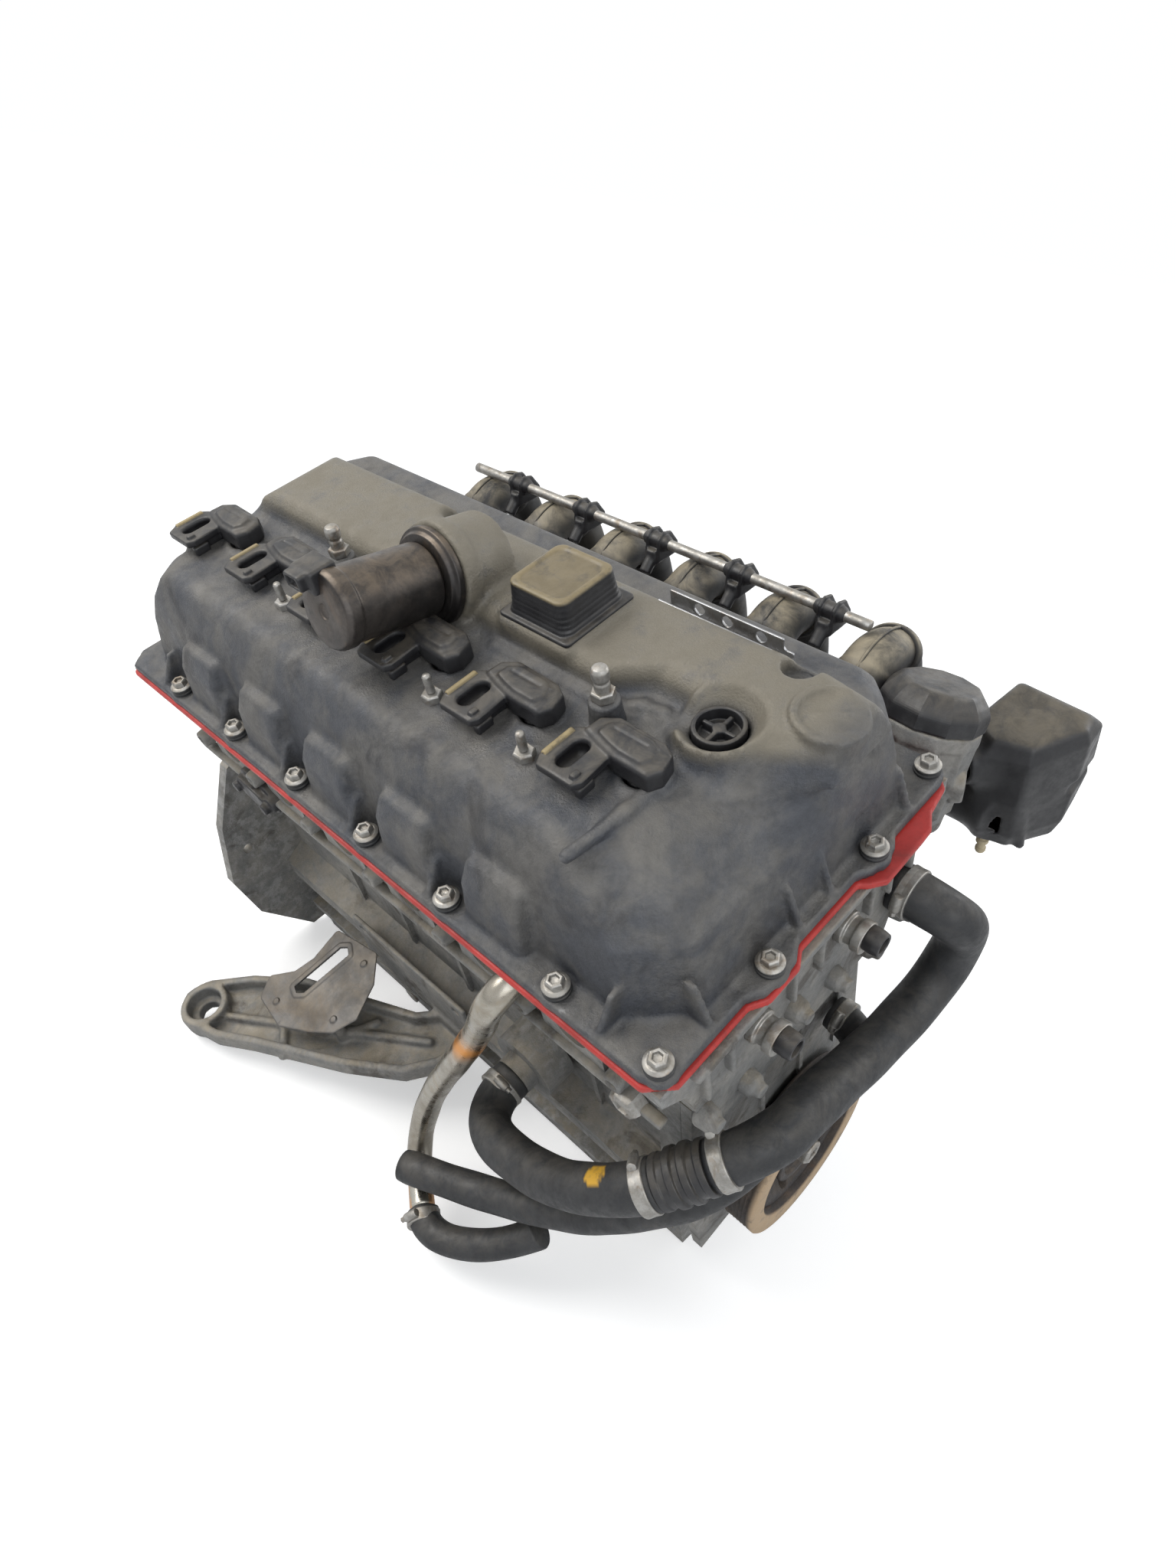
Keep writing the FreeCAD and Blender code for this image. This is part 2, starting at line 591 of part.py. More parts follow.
def valve_cover():
    flange = plan_loft("valve_cover_flange", [(FLANGE_BASE, flange_plan(0)), (FLANGE_TOP, flange_plan(1))])
    walls = plan_loft("valve_cover_walls", cover_levels(0))
    ridge = plan_loft("valve_cover_ridge", [
        (f"{TRAY} - 4",
         [("2", "52"), ("2", "470"), ("26", "500"), ("26", "530"), ("-16", "556"), ("0", "575"),
                         ("34", "front_wall_ahead - 16"), ("cover_right - 68", "front_wall_ahead - 16"),
                         ("cover_right - 62", "front_wall_ahead - 44"), ("cover_right - 66", "52")]),
        (RIDGE, [("12", "72"), ("12", "474"), ("38", "503"), ("38", "536"), ("-2", "562"), ("10", "572"),
                 ("40", "front_wall_ahead - 23"), ("cover_right - 84", "front_wall_ahead - 23"),
                 ("cover_right - 76", "front_wall_ahead - 56"), ("cover_right - 80", "72")])])
    shell = cut("valve_cover_shell", fuse("valve_cover_outer", [flange, walls]),
                [plan_loft("valve_cover_room", cover_levels("cover_wall"))])
    solids = [shell, ridge,
              rod("valve_cover_motor_collar", motor_place(-44), "motor_radius + 9", 52, motor_direction()),
              box("valve_cover_motor_floor", (-24, "-motor_ahead - 44", f"{TRAY} - 18"), (56, 88, 17))]
    tools = [rod("valve_cover_motor_seat", motor_place(8), "motor_radius + 9 + seat_gap", 9.6,
                 motor_direction()),
             rod("valve_cover_motor_bore", motor_place(-30), "motor_radius - 8", 60, motor_direction())]
    for number in CYLINDERS:
        ahead = cylinder_ahead(number)
        solids.append(rod(f"valve_cover_well_{number}", ("-coil_offset - 1", f"-({ahead})", f"{TRAY} - 30"),
                          "stalk_radius + 6", 30.5))
        tools.append(rod(f"valve_cover_well_bore_{number}", plug_point(number, 80), "stalk_radius + 1.5",
                         "head_height + tray_over_flange", plug_axis()))
    bulges = []
    for number in range(5):
        ahead = f"flange_to_last + bore_spacing * {number} + 14"
        bulges.append(plan_loft(f"valve_cover_bulge_{number}", [
            (f"{FLANGE_TOP} - 2",
             [("-cover_left + 9", f"{ahead} + 3"), ("-cover_left + 9", f"{ahead} + 61"),
                                   ("-cover_left + 30", f"{ahead} + 64"), ("-cover_left + 30", ahead)]),
            (f"{FLANGE_TOP} + 0.56 * tray_over_flange",
             [("-cover_left + 20", f"{ahead} + 6"), ("-cover_left + 20", f"{ahead} + 58"),
              ("-cover_left + 40", f"{ahead} + 61"), ("-cover_left + 40", f"{ahead} + 3")])]))
    solids += bulges
    for count, (x, ahead) in enumerate(cover_screw_places()):
        solids.append(rod(f"valve_cover_ear_{count}", (x, -ahead, FLANGE_BASE), 11, "flange_thickness"))
    dish = taper("valve_cover_plug_dish", (20, -563, f"{RIDGE} - 14"), (20, 34), 16)
    seat = rod("valve_cover_plug_seat", (20, -563, f"{RIDGE} - 30"), 18, 40)
    filler = rod("valve_cover_filler_bore", ("filler_across", "-filler_ahead", f"{RIDGE} - 40"), 17, 60)
    pad = rod("valve_cover_pad", (56, "-front_wall_ahead + 39", f"{TRAY} - 6"), 24, 27.5)
    cast = fuse("valve_cover_solids", solids + [pad])
    piece("valve_cover", [cut("valve_cover_cut", cast, tools + [dish, seat, filler])])


# Cover screws with their rubber bushes
def cover_screw_places():
    """Lateral place and distance ahead of every cover screw."""
    left = -sheet.cover_left + 11
    right = sheet.cover_right - 12
    front = sheet.front_wall_ahead
    places = [(left, sheet.flange_to_last + sheet.bore_spacing * count) for count in range(5)]
    places += [(left, sheet.flange_to_last + sheet.bore_spacing * 5 + 14)]
    places += [(right, sheet.flange_to_last + sheet.bore_spacing * count) for count in (0, 1.5, 3, 4.7)]
    places += [(left + 2, front - 11), (-44, front - 2), (68, front - 2), (right - 1, front - 13)]
    return places


def cover_screws():
    screws = []
    bushes = []
    for count, (x, ahead) in enumerate(cover_screw_places()):
        bushes.append(rod(f"bolt_bushings_{count}", (x, -ahead, f"{FLANGE_TOP} + seat_gap"), 9.5, 5))
        head = rod(f"cover_bolts_head_{count}", (x, -ahead, f"{FLANGE_TOP} + 2 * seat_gap + 5"),
                   "bolt_head_radius", 7)
        screws.append(head)
    piece("cover_bolts", screws)
    piece("bolt_bushings", bushes)


# Ignition coils: head, latch frame with its long hole, socket and stalk
def coils():
    for number in CYLINDERS:
        ahead = cylinder_ahead(number)
        name = f"coil_{number}"
        x = "-coil_offset"
        base = f"{TRAY} + 1"
        head = prism(f"{name}_head", "XY_Plane",
                     [(f"{x} - 18", f"-({ahead}) - 7"), (f"{x} - 8", f"-({ahead}) - 18"),
                      (f"{x} + 10", f"-({ahead}) - 18"), (f"{x} + 19", f"-({ahead}) - 6"),
                      (f"{x} + 19", f"-({ahead}) + 10"), (f"{x} + 8", f"-({ahead}) + 18"),
                      (f"{x} - 12", f"-({ahead}) + 18"), (f"{x} - 18", f"-({ahead}) + 8")], base, 16)
        latch = box(f"{name}_latch", (f"{x} - latch_left - 15", f"-({ahead}) + 8", f"{base} + 8"),
                    (38, 36, 5))
        socket = box(f"{name}_socket", (f"{x} - latch_left - 9", f"-({ahead}) + 10", base), (30, 30, 10))
        hole = rod(f"{name}_hole", (f"{x} - latch_left + 2", f"-({ahead}) + latch_behind - 2", base), 7, 30)
        stalk = rod(f"{name}_stalk", plug_point(number, 62), "stalk_radius",
                    "head_height + tray_over_flange - 48", plug_axis())
        solid = fuse(f"{name}_solids", [head, latch, socket, stalk])
        piece(name, [cut(f"{name}_cut", solid, [hole])])


def spark_plugs():
    plugs = []
    for number in CYLINDERS:
        thread = rod(f"spark_plug_thread_{number}", plug_point(number, 2), 7, 22, plug_axis())
        hexagon = rod(f"spark_plug_hex_{number}", plug_point(number, 22), 9, 36, plug_axis())
        plugs.append(fuse(f"spark_plug_{number}", [thread, hexagon]))
    piece("spark_plugs", plugs)


# Lift motor, its flange and what it drives
def servo():
    out = motor_direction()
    flange = rod("servo_flange_disc", motor_place(8.3), "motor_radius + 9", 6, out)
    ear = rod("servo_flange_ear", motor_place(8.3), "motor_radius + 4", 9, out)
    piece("servo_flange", [fuse("servo_flange_solid", [flange, ear])])
    barrel = rod("servo_motor_barrel", motor_place(17.6), "motor_radius", "motor_length - 22", out)
    cap = rod("servo_motor_cap", motor_place(17.6 + sheet.motor_length - 23), "motor_radius + 1.5", 8, out)
    plug = box("servo_motor_socket",
               (-84, "-motor_ahead + 2", f"{TRAY} + motor_over_tray + motor_radius + 10"), (22, 24, 22))
    piece("servo_motor", [fuse("servo_motor_solid", [barrel, cap, plug])])


def filler_cap():
    half = "filler_side / 2"
    rim = RIDGE + " + seat_gap"
    skirt = plan_loft("filler_cap_skirt", [
        (level, [(f"filler_across - {size}", f"filler_ahead - {size} + 12"),
                 (f"filler_across - {size}", f"filler_ahead + {size} - 12"),
                 (f"filler_across - {size} + 12", f"filler_ahead + {size}"),
                 (f"filler_across + {size} - 12", f"filler_ahead + {size}"),
                 (f"filler_across + {size}", f"filler_ahead + {size} - 12"),
                 (f"filler_across + {size}", f"filler_ahead - {size} + 12"),
                 (f"filler_across + {size} - 12", f"filler_ahead - {size}"),
                 (f"filler_across - {size} + 12", f"filler_ahead - {size}")])
        for level, size in ((rim, half), (f"{rim} + filler_height - 6", half),
                            (f"{rim} + filler_height", f"({half} - 5)"))])
    seal = rod("filler_cap_seal", ("filler_across", "-filler_ahead", rim), "filler_side / 2 + 5", 5)
    neck = rod("filler_cap_neck", ("filler_across", "-filler_ahead", f"{RIDGE} - 14"), "17 - running_gap",
               20)
    piece("filler_cap", [fuse("filler_cap_solid", [skirt, seal, neck])])


def cover_plug():
    disc = rod("cover_plug_disc", (20, -563, f"{RIDGE} - 26"), "18 - seat_gap", 16)
    hollow = rod("cover_plug_hollow", (20, -563, f"{RIDGE} - 17"), 14, 10)
    ribs = [box(f"cover_plug_rib_{count}", (20 - size[0] / 2, -563 - size[1] / 2, f"{RIDGE} - 18"), size)
            for count, size in enumerate(((26, 3, 6), (3, 26, 6)))]
    piece("cover_plug", [fuse("cover_plug_solid", [cut("cover_plug_cup", disc, [hollow])] + ribs)])


# Posts and studs that stand on the cover
def posts_and_studs():
    posts = []
    for count, (x, ahead) in enumerate(((-10, 497), (-10, 214))):
        base = rod(f"cover_posts_foot_{count}", (x, -ahead, f"{TRAY} + seat_gap"), 9, 26)
        neck = rod(f"cover_posts_neck_{count}", (x, -ahead, f"{TRAY} + 20"), 6, 26)
        posts.append(fuse(f"cover_posts_{count}", [base, neck]))
    piece("cover_posts", posts)
    studs = []
    for count, (x, ahead) in enumerate(((-64, 477), (-64, 386), (-64, 204))):
        base = rod(f"cover_studs_base_{count}", (x, -ahead, f"{TRAY} + seat_gap"), 7, 7)
        pin = rod(f"cover_studs_pin_{count}", (x, -ahead, f"{TRAY} + 6"), 3, 16)
        studs.append(fuse(f"cover_studs_{count}", [base, pin]))
    piece("cover_studs", studs)


def support_rail():
    rail = box("support_rail_bar", ("cover_right - 59", -560, f"{TRAY} + seat_gap"), (16, 104, 18))
    slot = box("support_rail_slot", ("cover_right - 55", -561, f"{TRAY} + 4"), (8, 106, 20))
    piece("support_rail", [cut("support_rail_channel", rail, [slot])])


# Intake: six curved runners from the head to a long plenum
def intake():
    level = sheet.deck_level + sheet.head_gasket_thickness + sheet.port_level
    runners = []
    for number in CYLINDERS:
        ahead = sheet.flange_to_last + sheet.bore_spacing * (sheet.cylinder_count - number)
        path = [Vector(134.5, -ahead, level), Vector(186, -ahead, level), Vector(200, -ahead, level + 62),
                Vector(238, -ahead, level + 84), Vector(276, -ahead, level + 56),
                Vector(276, -ahead, level - 52 + sheet.plenum_radius + sheet.seat_gap)]
        runner = tube(f"intake_runner_{number}", path, sheet.runner_radius, sheet.runner_radius - 3)
        flange = cut(f"intake_runner_flange_{number}",
                     box(f"intake_runner_plate_{number}", (134.4, -ahead - 29, level - 23), (8, 58, 46)),
                     [rod(f"intake_runner_hole_{number}", (130, -ahead, level), "runner_radius - 3", 30,
                          X_AXIS)])
        runners.append(fuse(f"intake_runner_{number}_solid", [runner, flange]))
    piece("intake_runners", runners)
    last = sheet.flange_to_last - 40
    first = sheet.flange_to_last + sheet.bore_spacing * (sheet.cylinder_count - 1) + 30
    log = rod("intake_plenum_log", (276, -last, level - 52), "plenum_radius", first - last, -Y_AXIS)
    room = rod("intake_plenum_room", (276, -last - 5, level - 52), "plenum_radius - 5", first - last + 10,
               -Y_AXIS)
    mouths = []
    for number in CYLINDERS:
        ahead = sheet.flange_to_last + sheet.bore_spacing * (sheet.cylinder_count - number)
        mouths.append(rod(f"intake_plenum_mouth_{number}", (276, -ahead, level - 40), "runner_radius - 3",
                          60))
    piece("intake_plenum", [cut("intake_plenum_cut", log, [room] + mouths)])
    rail_level = runner.Shape.BoundBox.ZMax + 5 + sheet.seat_gap
    rail = rod("intake_rail_bar", (238, -last - 20, rail_level), 5, first - last - 60, -Y_AXIS)
    clips = [rail]
    for number in CYLINDERS[1:]:
        ahead = sheet.flange_to_last + sheet.bore_spacing * (sheet.cylinder_count - number) + 45
        clips.append(box(f"intake_rail_clip_{number}", (224, -ahead - 8, rail_level - 14), (24, 16, 22)))
    piece("intake_rail", [fuse("intake_rail_solid", clips)])


def throttle():
    level = sheet.deck_level + sheet.head_gasket_thickness + sheet.port_level - 52
    front = sheet.flange_to_last + sheet.bore_spacing * (sheet.cylinder_count - 1) + 30
    housing = rod("throttle_body_ring", (276, -front - 0.3, level), "throttle_radius + 8", 34, -Y_AXIS)
    flange = rod("throttle_body_flange", (276, -front - 0.3, level), "plenum_radius", 6, -Y_AXIS)
    bore = rod("throttle_body_bore", (276, -front + 1, level), "throttle_radius", 40, -Y_AXIS)
    gear_case = box("throttle_body_gear_case", (276 + sheet.throttle_radius + 2, -front - 32, level - 30),
                    (20, 30, 60))
    piece("throttle_body",
          [cut("throttle_body_cut", fuse("throttle_body_solids", [housing, flange, gear_case]), [bore])])
    flap = rod("throttle_flap_disc", (276, -front - 16, level), "throttle_radius - 0.6", 2, -Y_AXIS)
    shaft = rod("throttle_flap_shaft", (276 - sheet.throttle_radius + 1, -front - 17, level), 3.5,
                "2 * throttle_radius - 2", X_AXIS)
    piece("throttle_flap", [fuse("throttle_flap_solid", [flap, shaft])])


def duct_box():
    level = sheet.deck_level + sheet.head_gasket_thickness + sheet.port_level - 52
    front = sheet.flange_to_last + sheet.bore_spacing * (sheet.cylinder_count - 1) + 64.6
    shell = plan_loft("duct_box_shell", [
        (level - 36, [("240", front), ("240", front + 70), ("330", front + 74), ("330", front)]),
        (level + 70, [("240", front), ("240", front + 86), ("346", front + 90), ("346", front)]),
        (level + 86, [("246", front + 4), ("246", front + 80), ("338", front + 84), ("338", front + 4)])])
    room = rod("duct_box_room", (276, -front + 1, level), "throttle_radius - 2", 60, -Y_AXIS)
    piece("duct_box", [cut("duct_box_cut", shell, [room])])
    piece("duct_nipple", [rod("duct_nipple_tube", (250, -front - 40, level - 36.3 - 22), 5, 22)])


def filter_housing():
    tilt = math.radians(25)
    up = Vector(math.sin(tilt), 0, math.cos(tilt))
    foot = (176, -606, 256)
    top = 84
    wall = rod("filter_housing_wall", foot, 38, top, up)
    room = rod("filter_housing_room", (foot[0] + up.x * 8, foot[1], foot[2] + up.z * 8), 32, top, up)
    arm = box("filter_housing_arm", (130.4, -626, 240), (40, 40, 60))
    piece("filter_housing", [cut("filter_housing_cut", fuse("filter_housing_solids", [wall, arm]), [room])])
    cap_base = Vector(*foot) + up * (top + 0.3)
    cap = rod("filter_cap_dome", tuple(cap_base), 41, 20, up)
    crown = taper("filter_cap_crown", tuple(cap_base + up * 20), (41, 30), 8, up)
    skirt = rod("filter_cap_skirt", tuple(cap_base - up * 14), 31, 16, up)
    piece("filter_cap", [fuse("filter_cap_solid", [cap, crown, skirt])])
    element_base = Vector(*foot) + up * 9
    element = cut("filter_element_cut", rod("filter_element_outer", tuple(element_base), 28, top - 25, up),
                  [rod("filter_element_hole", tuple(element_base - up), 10, top, up)])
    piece("filter_element", [element])


COUPLER_FRONT = Vector(-118, -656, 190)
COUPLER_AXIS = Vector(-26, 22, -14).normalize()


# Crankshaft: main journals, six throws with counterweights, rear flange and nose sprocket
def crankshaft():
    members = [rod("crankshaft_flange", (0, 0, 0), "journal_radius + 10", 10, -Y_AXIS)]
    tools = []
    for count in range(8):
        angle = 2 * math.pi * count / 8
        tools.append(rod(f"crankshaft_flange_hole_{count}", (29 * math.cos(angle), 1, 29 * math.sin(angle)),
                         5, 12, -Y_AXIS))
    tools.append(rod("crankshaft_pilot_bore", (0, 1, 0), 12, 20, -Y_AXIS))
    last = "flange_to_last - pin_width / 2 - web_thickness"
    members.append(rod("crankshaft_rear_journal", (0, -9, 0), "journal_radius", f"{last} - 8", -Y_AXIS))
    for number in CYLINDERS:
        ahead = cylinder_ahead(number)
        angle = math.radians(throw_angle(number))
        x = math.sin(angle)
        z = math.cos(angle)
        members.append(rod(f"crankshaft_pin_{number}",
                           (f"throw_radius * {x}", f"-({ahead}) + pin_width / 2 + 1",
                                                        f"throw_radius * {z}"),
                           "crank_pin_radius", "pin_width + 2", -Y_AXIS))
        for count, sign in enumerate((-1, 1)):
            start = f"-({ahead}) + {sign} * (pin_width / 2 + web_thickness / 2) + web_thickness / 2"
            around = rod(f"crankshaft_web_end_{number}_{count}",
                         (f"throw_radius * {x}", start, f"throw_radius * {z}"),
                         "crank_pin_radius + 2", "web_thickness", -Y_AXIS)
            middle = rod(f"crankshaft_web_middle_{number}_{count}", (0, start, 0), "journal_radius + 8",
                         "web_thickness", -Y_AXIS)
            weight = rod(f"crankshaft_weight_{number}_{count}", (f"-14 * {x}", start, f"-14 * {z}"), 52,
                         "web_thickness", -Y_AXIS)
            members += [around, middle, weight]
        if number > 1:
            members.append(rod(f"crankshaft_journal_{number}",
                               (0, f"-({ahead}) - pin_width / 2 - web_thickness + 1", 0),
                               "journal_radius", "bore_spacing - pin_width - 2 * web_thickness + 2",
                               -Y_AXIS))
    front = f"({cylinder_ahead(1)} + pin_width / 2 + web_thickness - 1)"
    members.append(rod("crankshaft_front_journal", (0, f"-({front})", 0), "journal_radius",
                       f"{CASE_BACK} - {front}", -Y_AXIS))
    members.append(rod("crankshaft_nose", (0, f"-({front})", 0), "nose_radius",
                       f"pulley_ahead + 6 - {front}", -Y_AXIS))
    members.append(rod("crankshaft_sprocket", (0, f"-({CASE_BACK} + chain_back)", 0), "sprocket_radius + 2",
                       "sprocket_width", -Y_AXIS))
    piece("crankshaft", [cut("crankshaft_cut", fuse("crankshaft_solids", members), tools)])


# Crank pulley: grooved rim, damper rubber line, dished web, hub and centre bolt
def damper_pulley():
    back = "pulley_ahead"
    nose = "nose_radius + seat_gap"
    rim = [("pulley_radius - 18", back), ("pulley_radius", back)]
    for count in range(6):
        rim.append(("pulley_radius", f"{back} + 2 + 4 * {count}"))
        rim.append(("pulley_radius - 3", f"{back} + 4 + 4 * {count}"))
    rim += [("pulley_radius", f"{back} + pulley_width - 3"), ("pulley_radius", f"{back} + pulley_width"),
            ("pulley_radius - 15", f"{back} + pulley_width"),
            ("pulley_radius - 22", f"{back} + pulley_width - 8"),
            ("40", f"{back} + 16"), ("36", f"{back} + 24"), ("0", f"{back} + 24"),
            ("0", f"{back} + 6 + seat_gap"),
            (nose, f"{back} + 6 + seat_gap"), (nose, back), ("34", back), ("36", f"{back} + 8"),
            ("pulley_radius - 26", f"{back} + 6")]
    wheel = turned("damper_pulley_wheel", rim)
    holes = [rod(f"damper_pulley_hole_{count}",
                 (47 * math.cos(math.pi / 3 * count), "-pulley_ahead", 47 * math.sin(math.pi / 3 * count)),
                 6, 40, -Y_AXIS) for count in range(6)]
    bolt = rod("damper_pulley_bolt", (0, "-pulley_ahead - 23", 0), 13, 10, -Y_AXIS)
    piece("damper_pulley", [fuse("damper_pulley_solid", [cut("damper_pulley_cut", wheel, holes), bolt])])


def piston_drop(number):
    """How far a piston stands below top dead centre at the rest angle of the crank."""
    angle = math.radians(throw_angle(number))
    rod_height = math.sqrt(sheet.rod_length ** 2 - (sheet.throw_radius * math.sin(angle)) ** 2)
    return sheet.throw_radius + sheet.rod_length - sheet.throw_radius * math.cos(angle) - rod_height


def pistons():
    for number in CYLINDERS:
        ahead = cylinder_ahead(number)
        drop = piston_drop(number)
        name = f"piston_{number}"
        pin_level = f"throw_radius + rod_length - {drop}"
        body = rod(f"{name}_body", (0, f"-({ahead})", f"{pin_level} - pin_to_skirt"), "bore_radius",
                   "pin_to_skirt + pin_to_crown - 1")
        hollow = rod(f"{name}_hollow", (0, f"-({ahead})", f"{pin_level} - pin_to_skirt - 1"),
                     "bore_radius - 6",
                     "pin_to_skirt + pin_to_crown - 10")
        pin = rod(f"{name}_pin", (0, f"-({ahead}) + bore_radius - 4", pin_level), 11, "2 * bore_radius - 8",
                  -Y_AXIS)
        piece(name, [fuse(f"{name}_solid", [cut(f"{name}_shell", body, [hollow]), pin])])


# Camshafts: a shaft with lobes, journals and the front adjuster with its sprocket
def camshaft(label, sign, phase):
    x = f"{sign} * cam_offset"
    members = [rod(f"{label}_shaft", (x, -34, CAM_LEVEL), "cam_base_radius - 5", f"{CASE_BACK} - 30",
                   -Y_AXIS)]
    for number in range(sheet.cylinder_count + 1):
        ahead = f"flange_to_last + bore_spacing * ({number} - 0.5) - 9"
        members.append(rod(f"{label}_journal_{number}", (x, f"-({ahead})", CAM_LEVEL), "cam_journal_radius",
                           18, -Y_AXIS))
    firing = {1: 0, 5: 1, 3: 2, 6: 3, 2: 4, 4: 5}
    for number in CYLINDERS:
        angle = math.radians(phase + 60 * firing[number])
        for count, shift in enumerate((-17, 17)):
            at = f"-({cylinder_ahead(number)}) + {shift} + 6"
            base = rod(f"{label}_base_{number}_{count}", (x, at, CAM_LEVEL), "cam_base_radius", 12, -Y_AXIS)
            nose = rod(f"{label}_nose_{number}_{count}",
                       (f"{x} + (cam_lift + 7) * {math.sin(angle)}", at,
                        f"{CAM_LEVEL} + (cam_lift + 7) * {math.cos(angle)}"),
                       "cam_base_radius - 7", 12, -Y_AXIS)
            members += [base, nose]
    members.append(rod(f"{label}_adjuster", (x, f"-({CASE_BACK} + seat_gap)", CAM_LEVEL),
                       "2 * sprocket_radius - 6", 6, -Y_AXIS))
    members.append(rod(f"{label}_sprocket", (x, f"-({CASE_BACK} + chain_back)", CAM_LEVEL),
                       "2 * sprocket_radius + 2",
                       "sprocket_width", -Y_AXIS))
    members.append(rod(f"{label}_front", (x, f"-({CASE_BACK} + chain_back + 7)", CAM_LEVEL),
                       "2 * sprocket_radius - 10", 10, -Y_AXIS))
    piece(label, [fuse(f"{label}_solid", members)])


def lift_shaft():
    x = "cam_offset - 12"
    level = f"{TRAY} - 46"
    shaft = rod("lift_shaft_bar", (x, -40, level), 9, f"{CASE_BACK} - 70", -Y_AXIS)
    members = [shaft]
    for number in CYLINDERS:
        members.append(rod(f"lift_shaft_eccentric_{number}",
                           (f"{x} + 5", f"-({cylinder_ahead(number)}) + 8", level),
                           11, 16, -Y_AXIS))
    members.append(rod("lift_shaft_gear", (x, "-motor_ahead + 6", level), 22, 12, -Y_AXIS))
    piece("lift_shaft", [fuse("lift_shaft_solid", members)])


def chain_band(radius_extra):
    """Face of the loop round the crank sprocket and both cam sprockets, some way outside them."""
    level = (sheet.deck_level + sheet.head_gasket_thickness + sheet.head_height + sheet.cam_level_over_head)
    small = sheet.sprocket_radius + radius_extra
    large = 2 * sheet.sprocket_radius + radius_extra
    span = math.hypot(sheet.cam_offset, level)
    slope = math.atan2(sheet.cam_offset, level)
    wrap = math.asin((large - small) / span)
    side = slope + wrap
    normal = Vector(math.cos(side), 0, -math.sin(side))
    mirror = Vector(-normal.x, 0, normal.z)
    cam_right = Vector(sheet.cam_offset, 0, level)
    cam_left = Vector(-sheet.cam_offset, 0, level)
    top = Vector(0, 0, 1)
    corner_right = (normal + top).normalize()
    corner_left = (mirror + top).normalize()
    edges = [Part.Arc(mirror * small, Vector(0, 0, -small), normal * small).toShape(),
             Part.LineSegment(normal * small, cam_right + normal * large).toShape(),
             Part.Arc(cam_right + normal * large, cam_right + corner_right * large,
                      cam_right + top * large).toShape(),
             Part.LineSegment(cam_right + top * large, cam_left + top * large).toShape(),
             Part.Arc(cam_left + top * large, cam_left + corner_left * large,
                      cam_left + mirror * large).toShape(),
             Part.LineSegment(cam_left + mirror * large, mirror * small).toShape()]
    return Part.Face(Part.Wire(edges))


def timing_chain():
    inner = chain_band(2.5)
    outer = chain_band(2.5 + sheet.chain_thickness)
    band = outer.cut(inner).extrude(Vector(0, -sheet.sprocket_width, 0))
    band.translate(Vector(0, -sheet.case_back_ahead - sheet.chain_back, 0))
    piece("timing_chain", [drawn("timing_chain_band", band)])


def coolant_parts():
    upper = [Vector(110, -649.3, 264), Vector(110, -697, 264), Vector(144, -694, 206),
             Vector(118, -688, 152),
             Vector(40, -684, 156), Vector(-34, -682, 190), COUPLER_FRONT - COUPLER_AXIS * 44,
             COUPLER_FRONT - COUPLER_AXIS * 0.3]
    piece("upper_hose", [tube("upper_hose_tube", upper, sheet.hose_radius, sheet.hose_radius - 4)])
    piece("hose_coupler",
          [rod("hose_coupler_body", tuple(COUPLER_FRONT), "hose_radius + 1.5", 40, COUPLER_AXIS)])
    elbow = [COUPLER_FRONT + COUPLER_AXIS * 40.3, COUPLER_FRONT + COUPLER_AXIS * 68,
             Vector(-190, -540, 100),
             Vector(-188, -440, 64), Vector(-137.3, -440, 64)]
    piece("elbow_hose", [tube("elbow_hose_tube", elbow, sheet.hose_radius, sheet.hose_radius - 4)])
    lower = [Vector(66, -633.3, 122), Vector(66, -672, 120), Vector(0, -670, 132), Vector(-70, -668, 156),
             Vector(-124, -658, 148), Vector(-160, -606, 92), Vector(-186, -560, 52),
             Vector(-226, -462, 18),
             Vector(-250, -400, 14)]
    piece("lower_hose",
          [tube("lower_hose_tube", lower, sheet.thin_hose_radius, sheet.thin_hose_radius - 4)])
    pipe = [Vector(-127.6, -499.5, 290), Vector(-158, -499.5, 290), Vector(-160, -474, 226),
            Vector(-172, -436, 150),
            Vector(-198, -392, 60), Vector(-232, -380, -24), Vector(-262, -426, -24)]
    piece("steel_pipe", [tube("steel_pipe_tube", pipe, sheet.pipe_radius, sheet.pipe_radius - 1.5)])
    heading = (pipe[-1] - pipe[-2]).normalize()
    sleeve = [pipe[-1] + heading * 0.3, pipe[-1] + heading * 25, Vector(-238, -510, -12),
              Vector(-206, -532, 6)]
    piece("pipe_hose", [tube("pipe_hose_tube", sleeve, sheet.sleeve_radius, sheet.sleeve_radius - 4)])
    pump = rod("coolant_pump_body", (-94.4, -440, 64), 34, 30, -X_AXIS)
    neck = rod("coolant_pump_neck", (-120, -440, 64), "hose_radius", 17, -X_AXIS)
    piece("coolant_pump", [fuse("coolant_pump_solid", [pump, neck])])


def head_fittings():
    thread = rod("head_plug_thread", (-114, -600, 240), "8 - seat_gap", 14, -X_AXIS)
    hexagon = prism("head_plug_hexagon", "YZ_Plane",
                    [(-600 + 14 * math.cos(math.pi / 3 * count), 240 + 14 * math.sin(math.pi / 3 * count))
                     for count in range(6)], "-142", "142 - 126 - seat_gap")
    piece("head_plug", [fuse("head_plug_solid", [thread, hexagon])])
    solenoids = []
    for count, x in enumerate((-58, 38)):
        body = rod(f"phaser_solenoid_body_{count}", (x, "-front_wall_ahead + 2 - seat_gap", 296), 13, 22,
                   -Y_AXIS)
        tip = box(f"phaser_solenoid_socket_{count}", (x - 9, "-front_wall_ahead - 30", 290), (18, 14, 26))
        solenoids.append(fuse(f"phaser_solenoid_{count}", [body, tip]))
    piece("phaser_solenoids", solenoids)


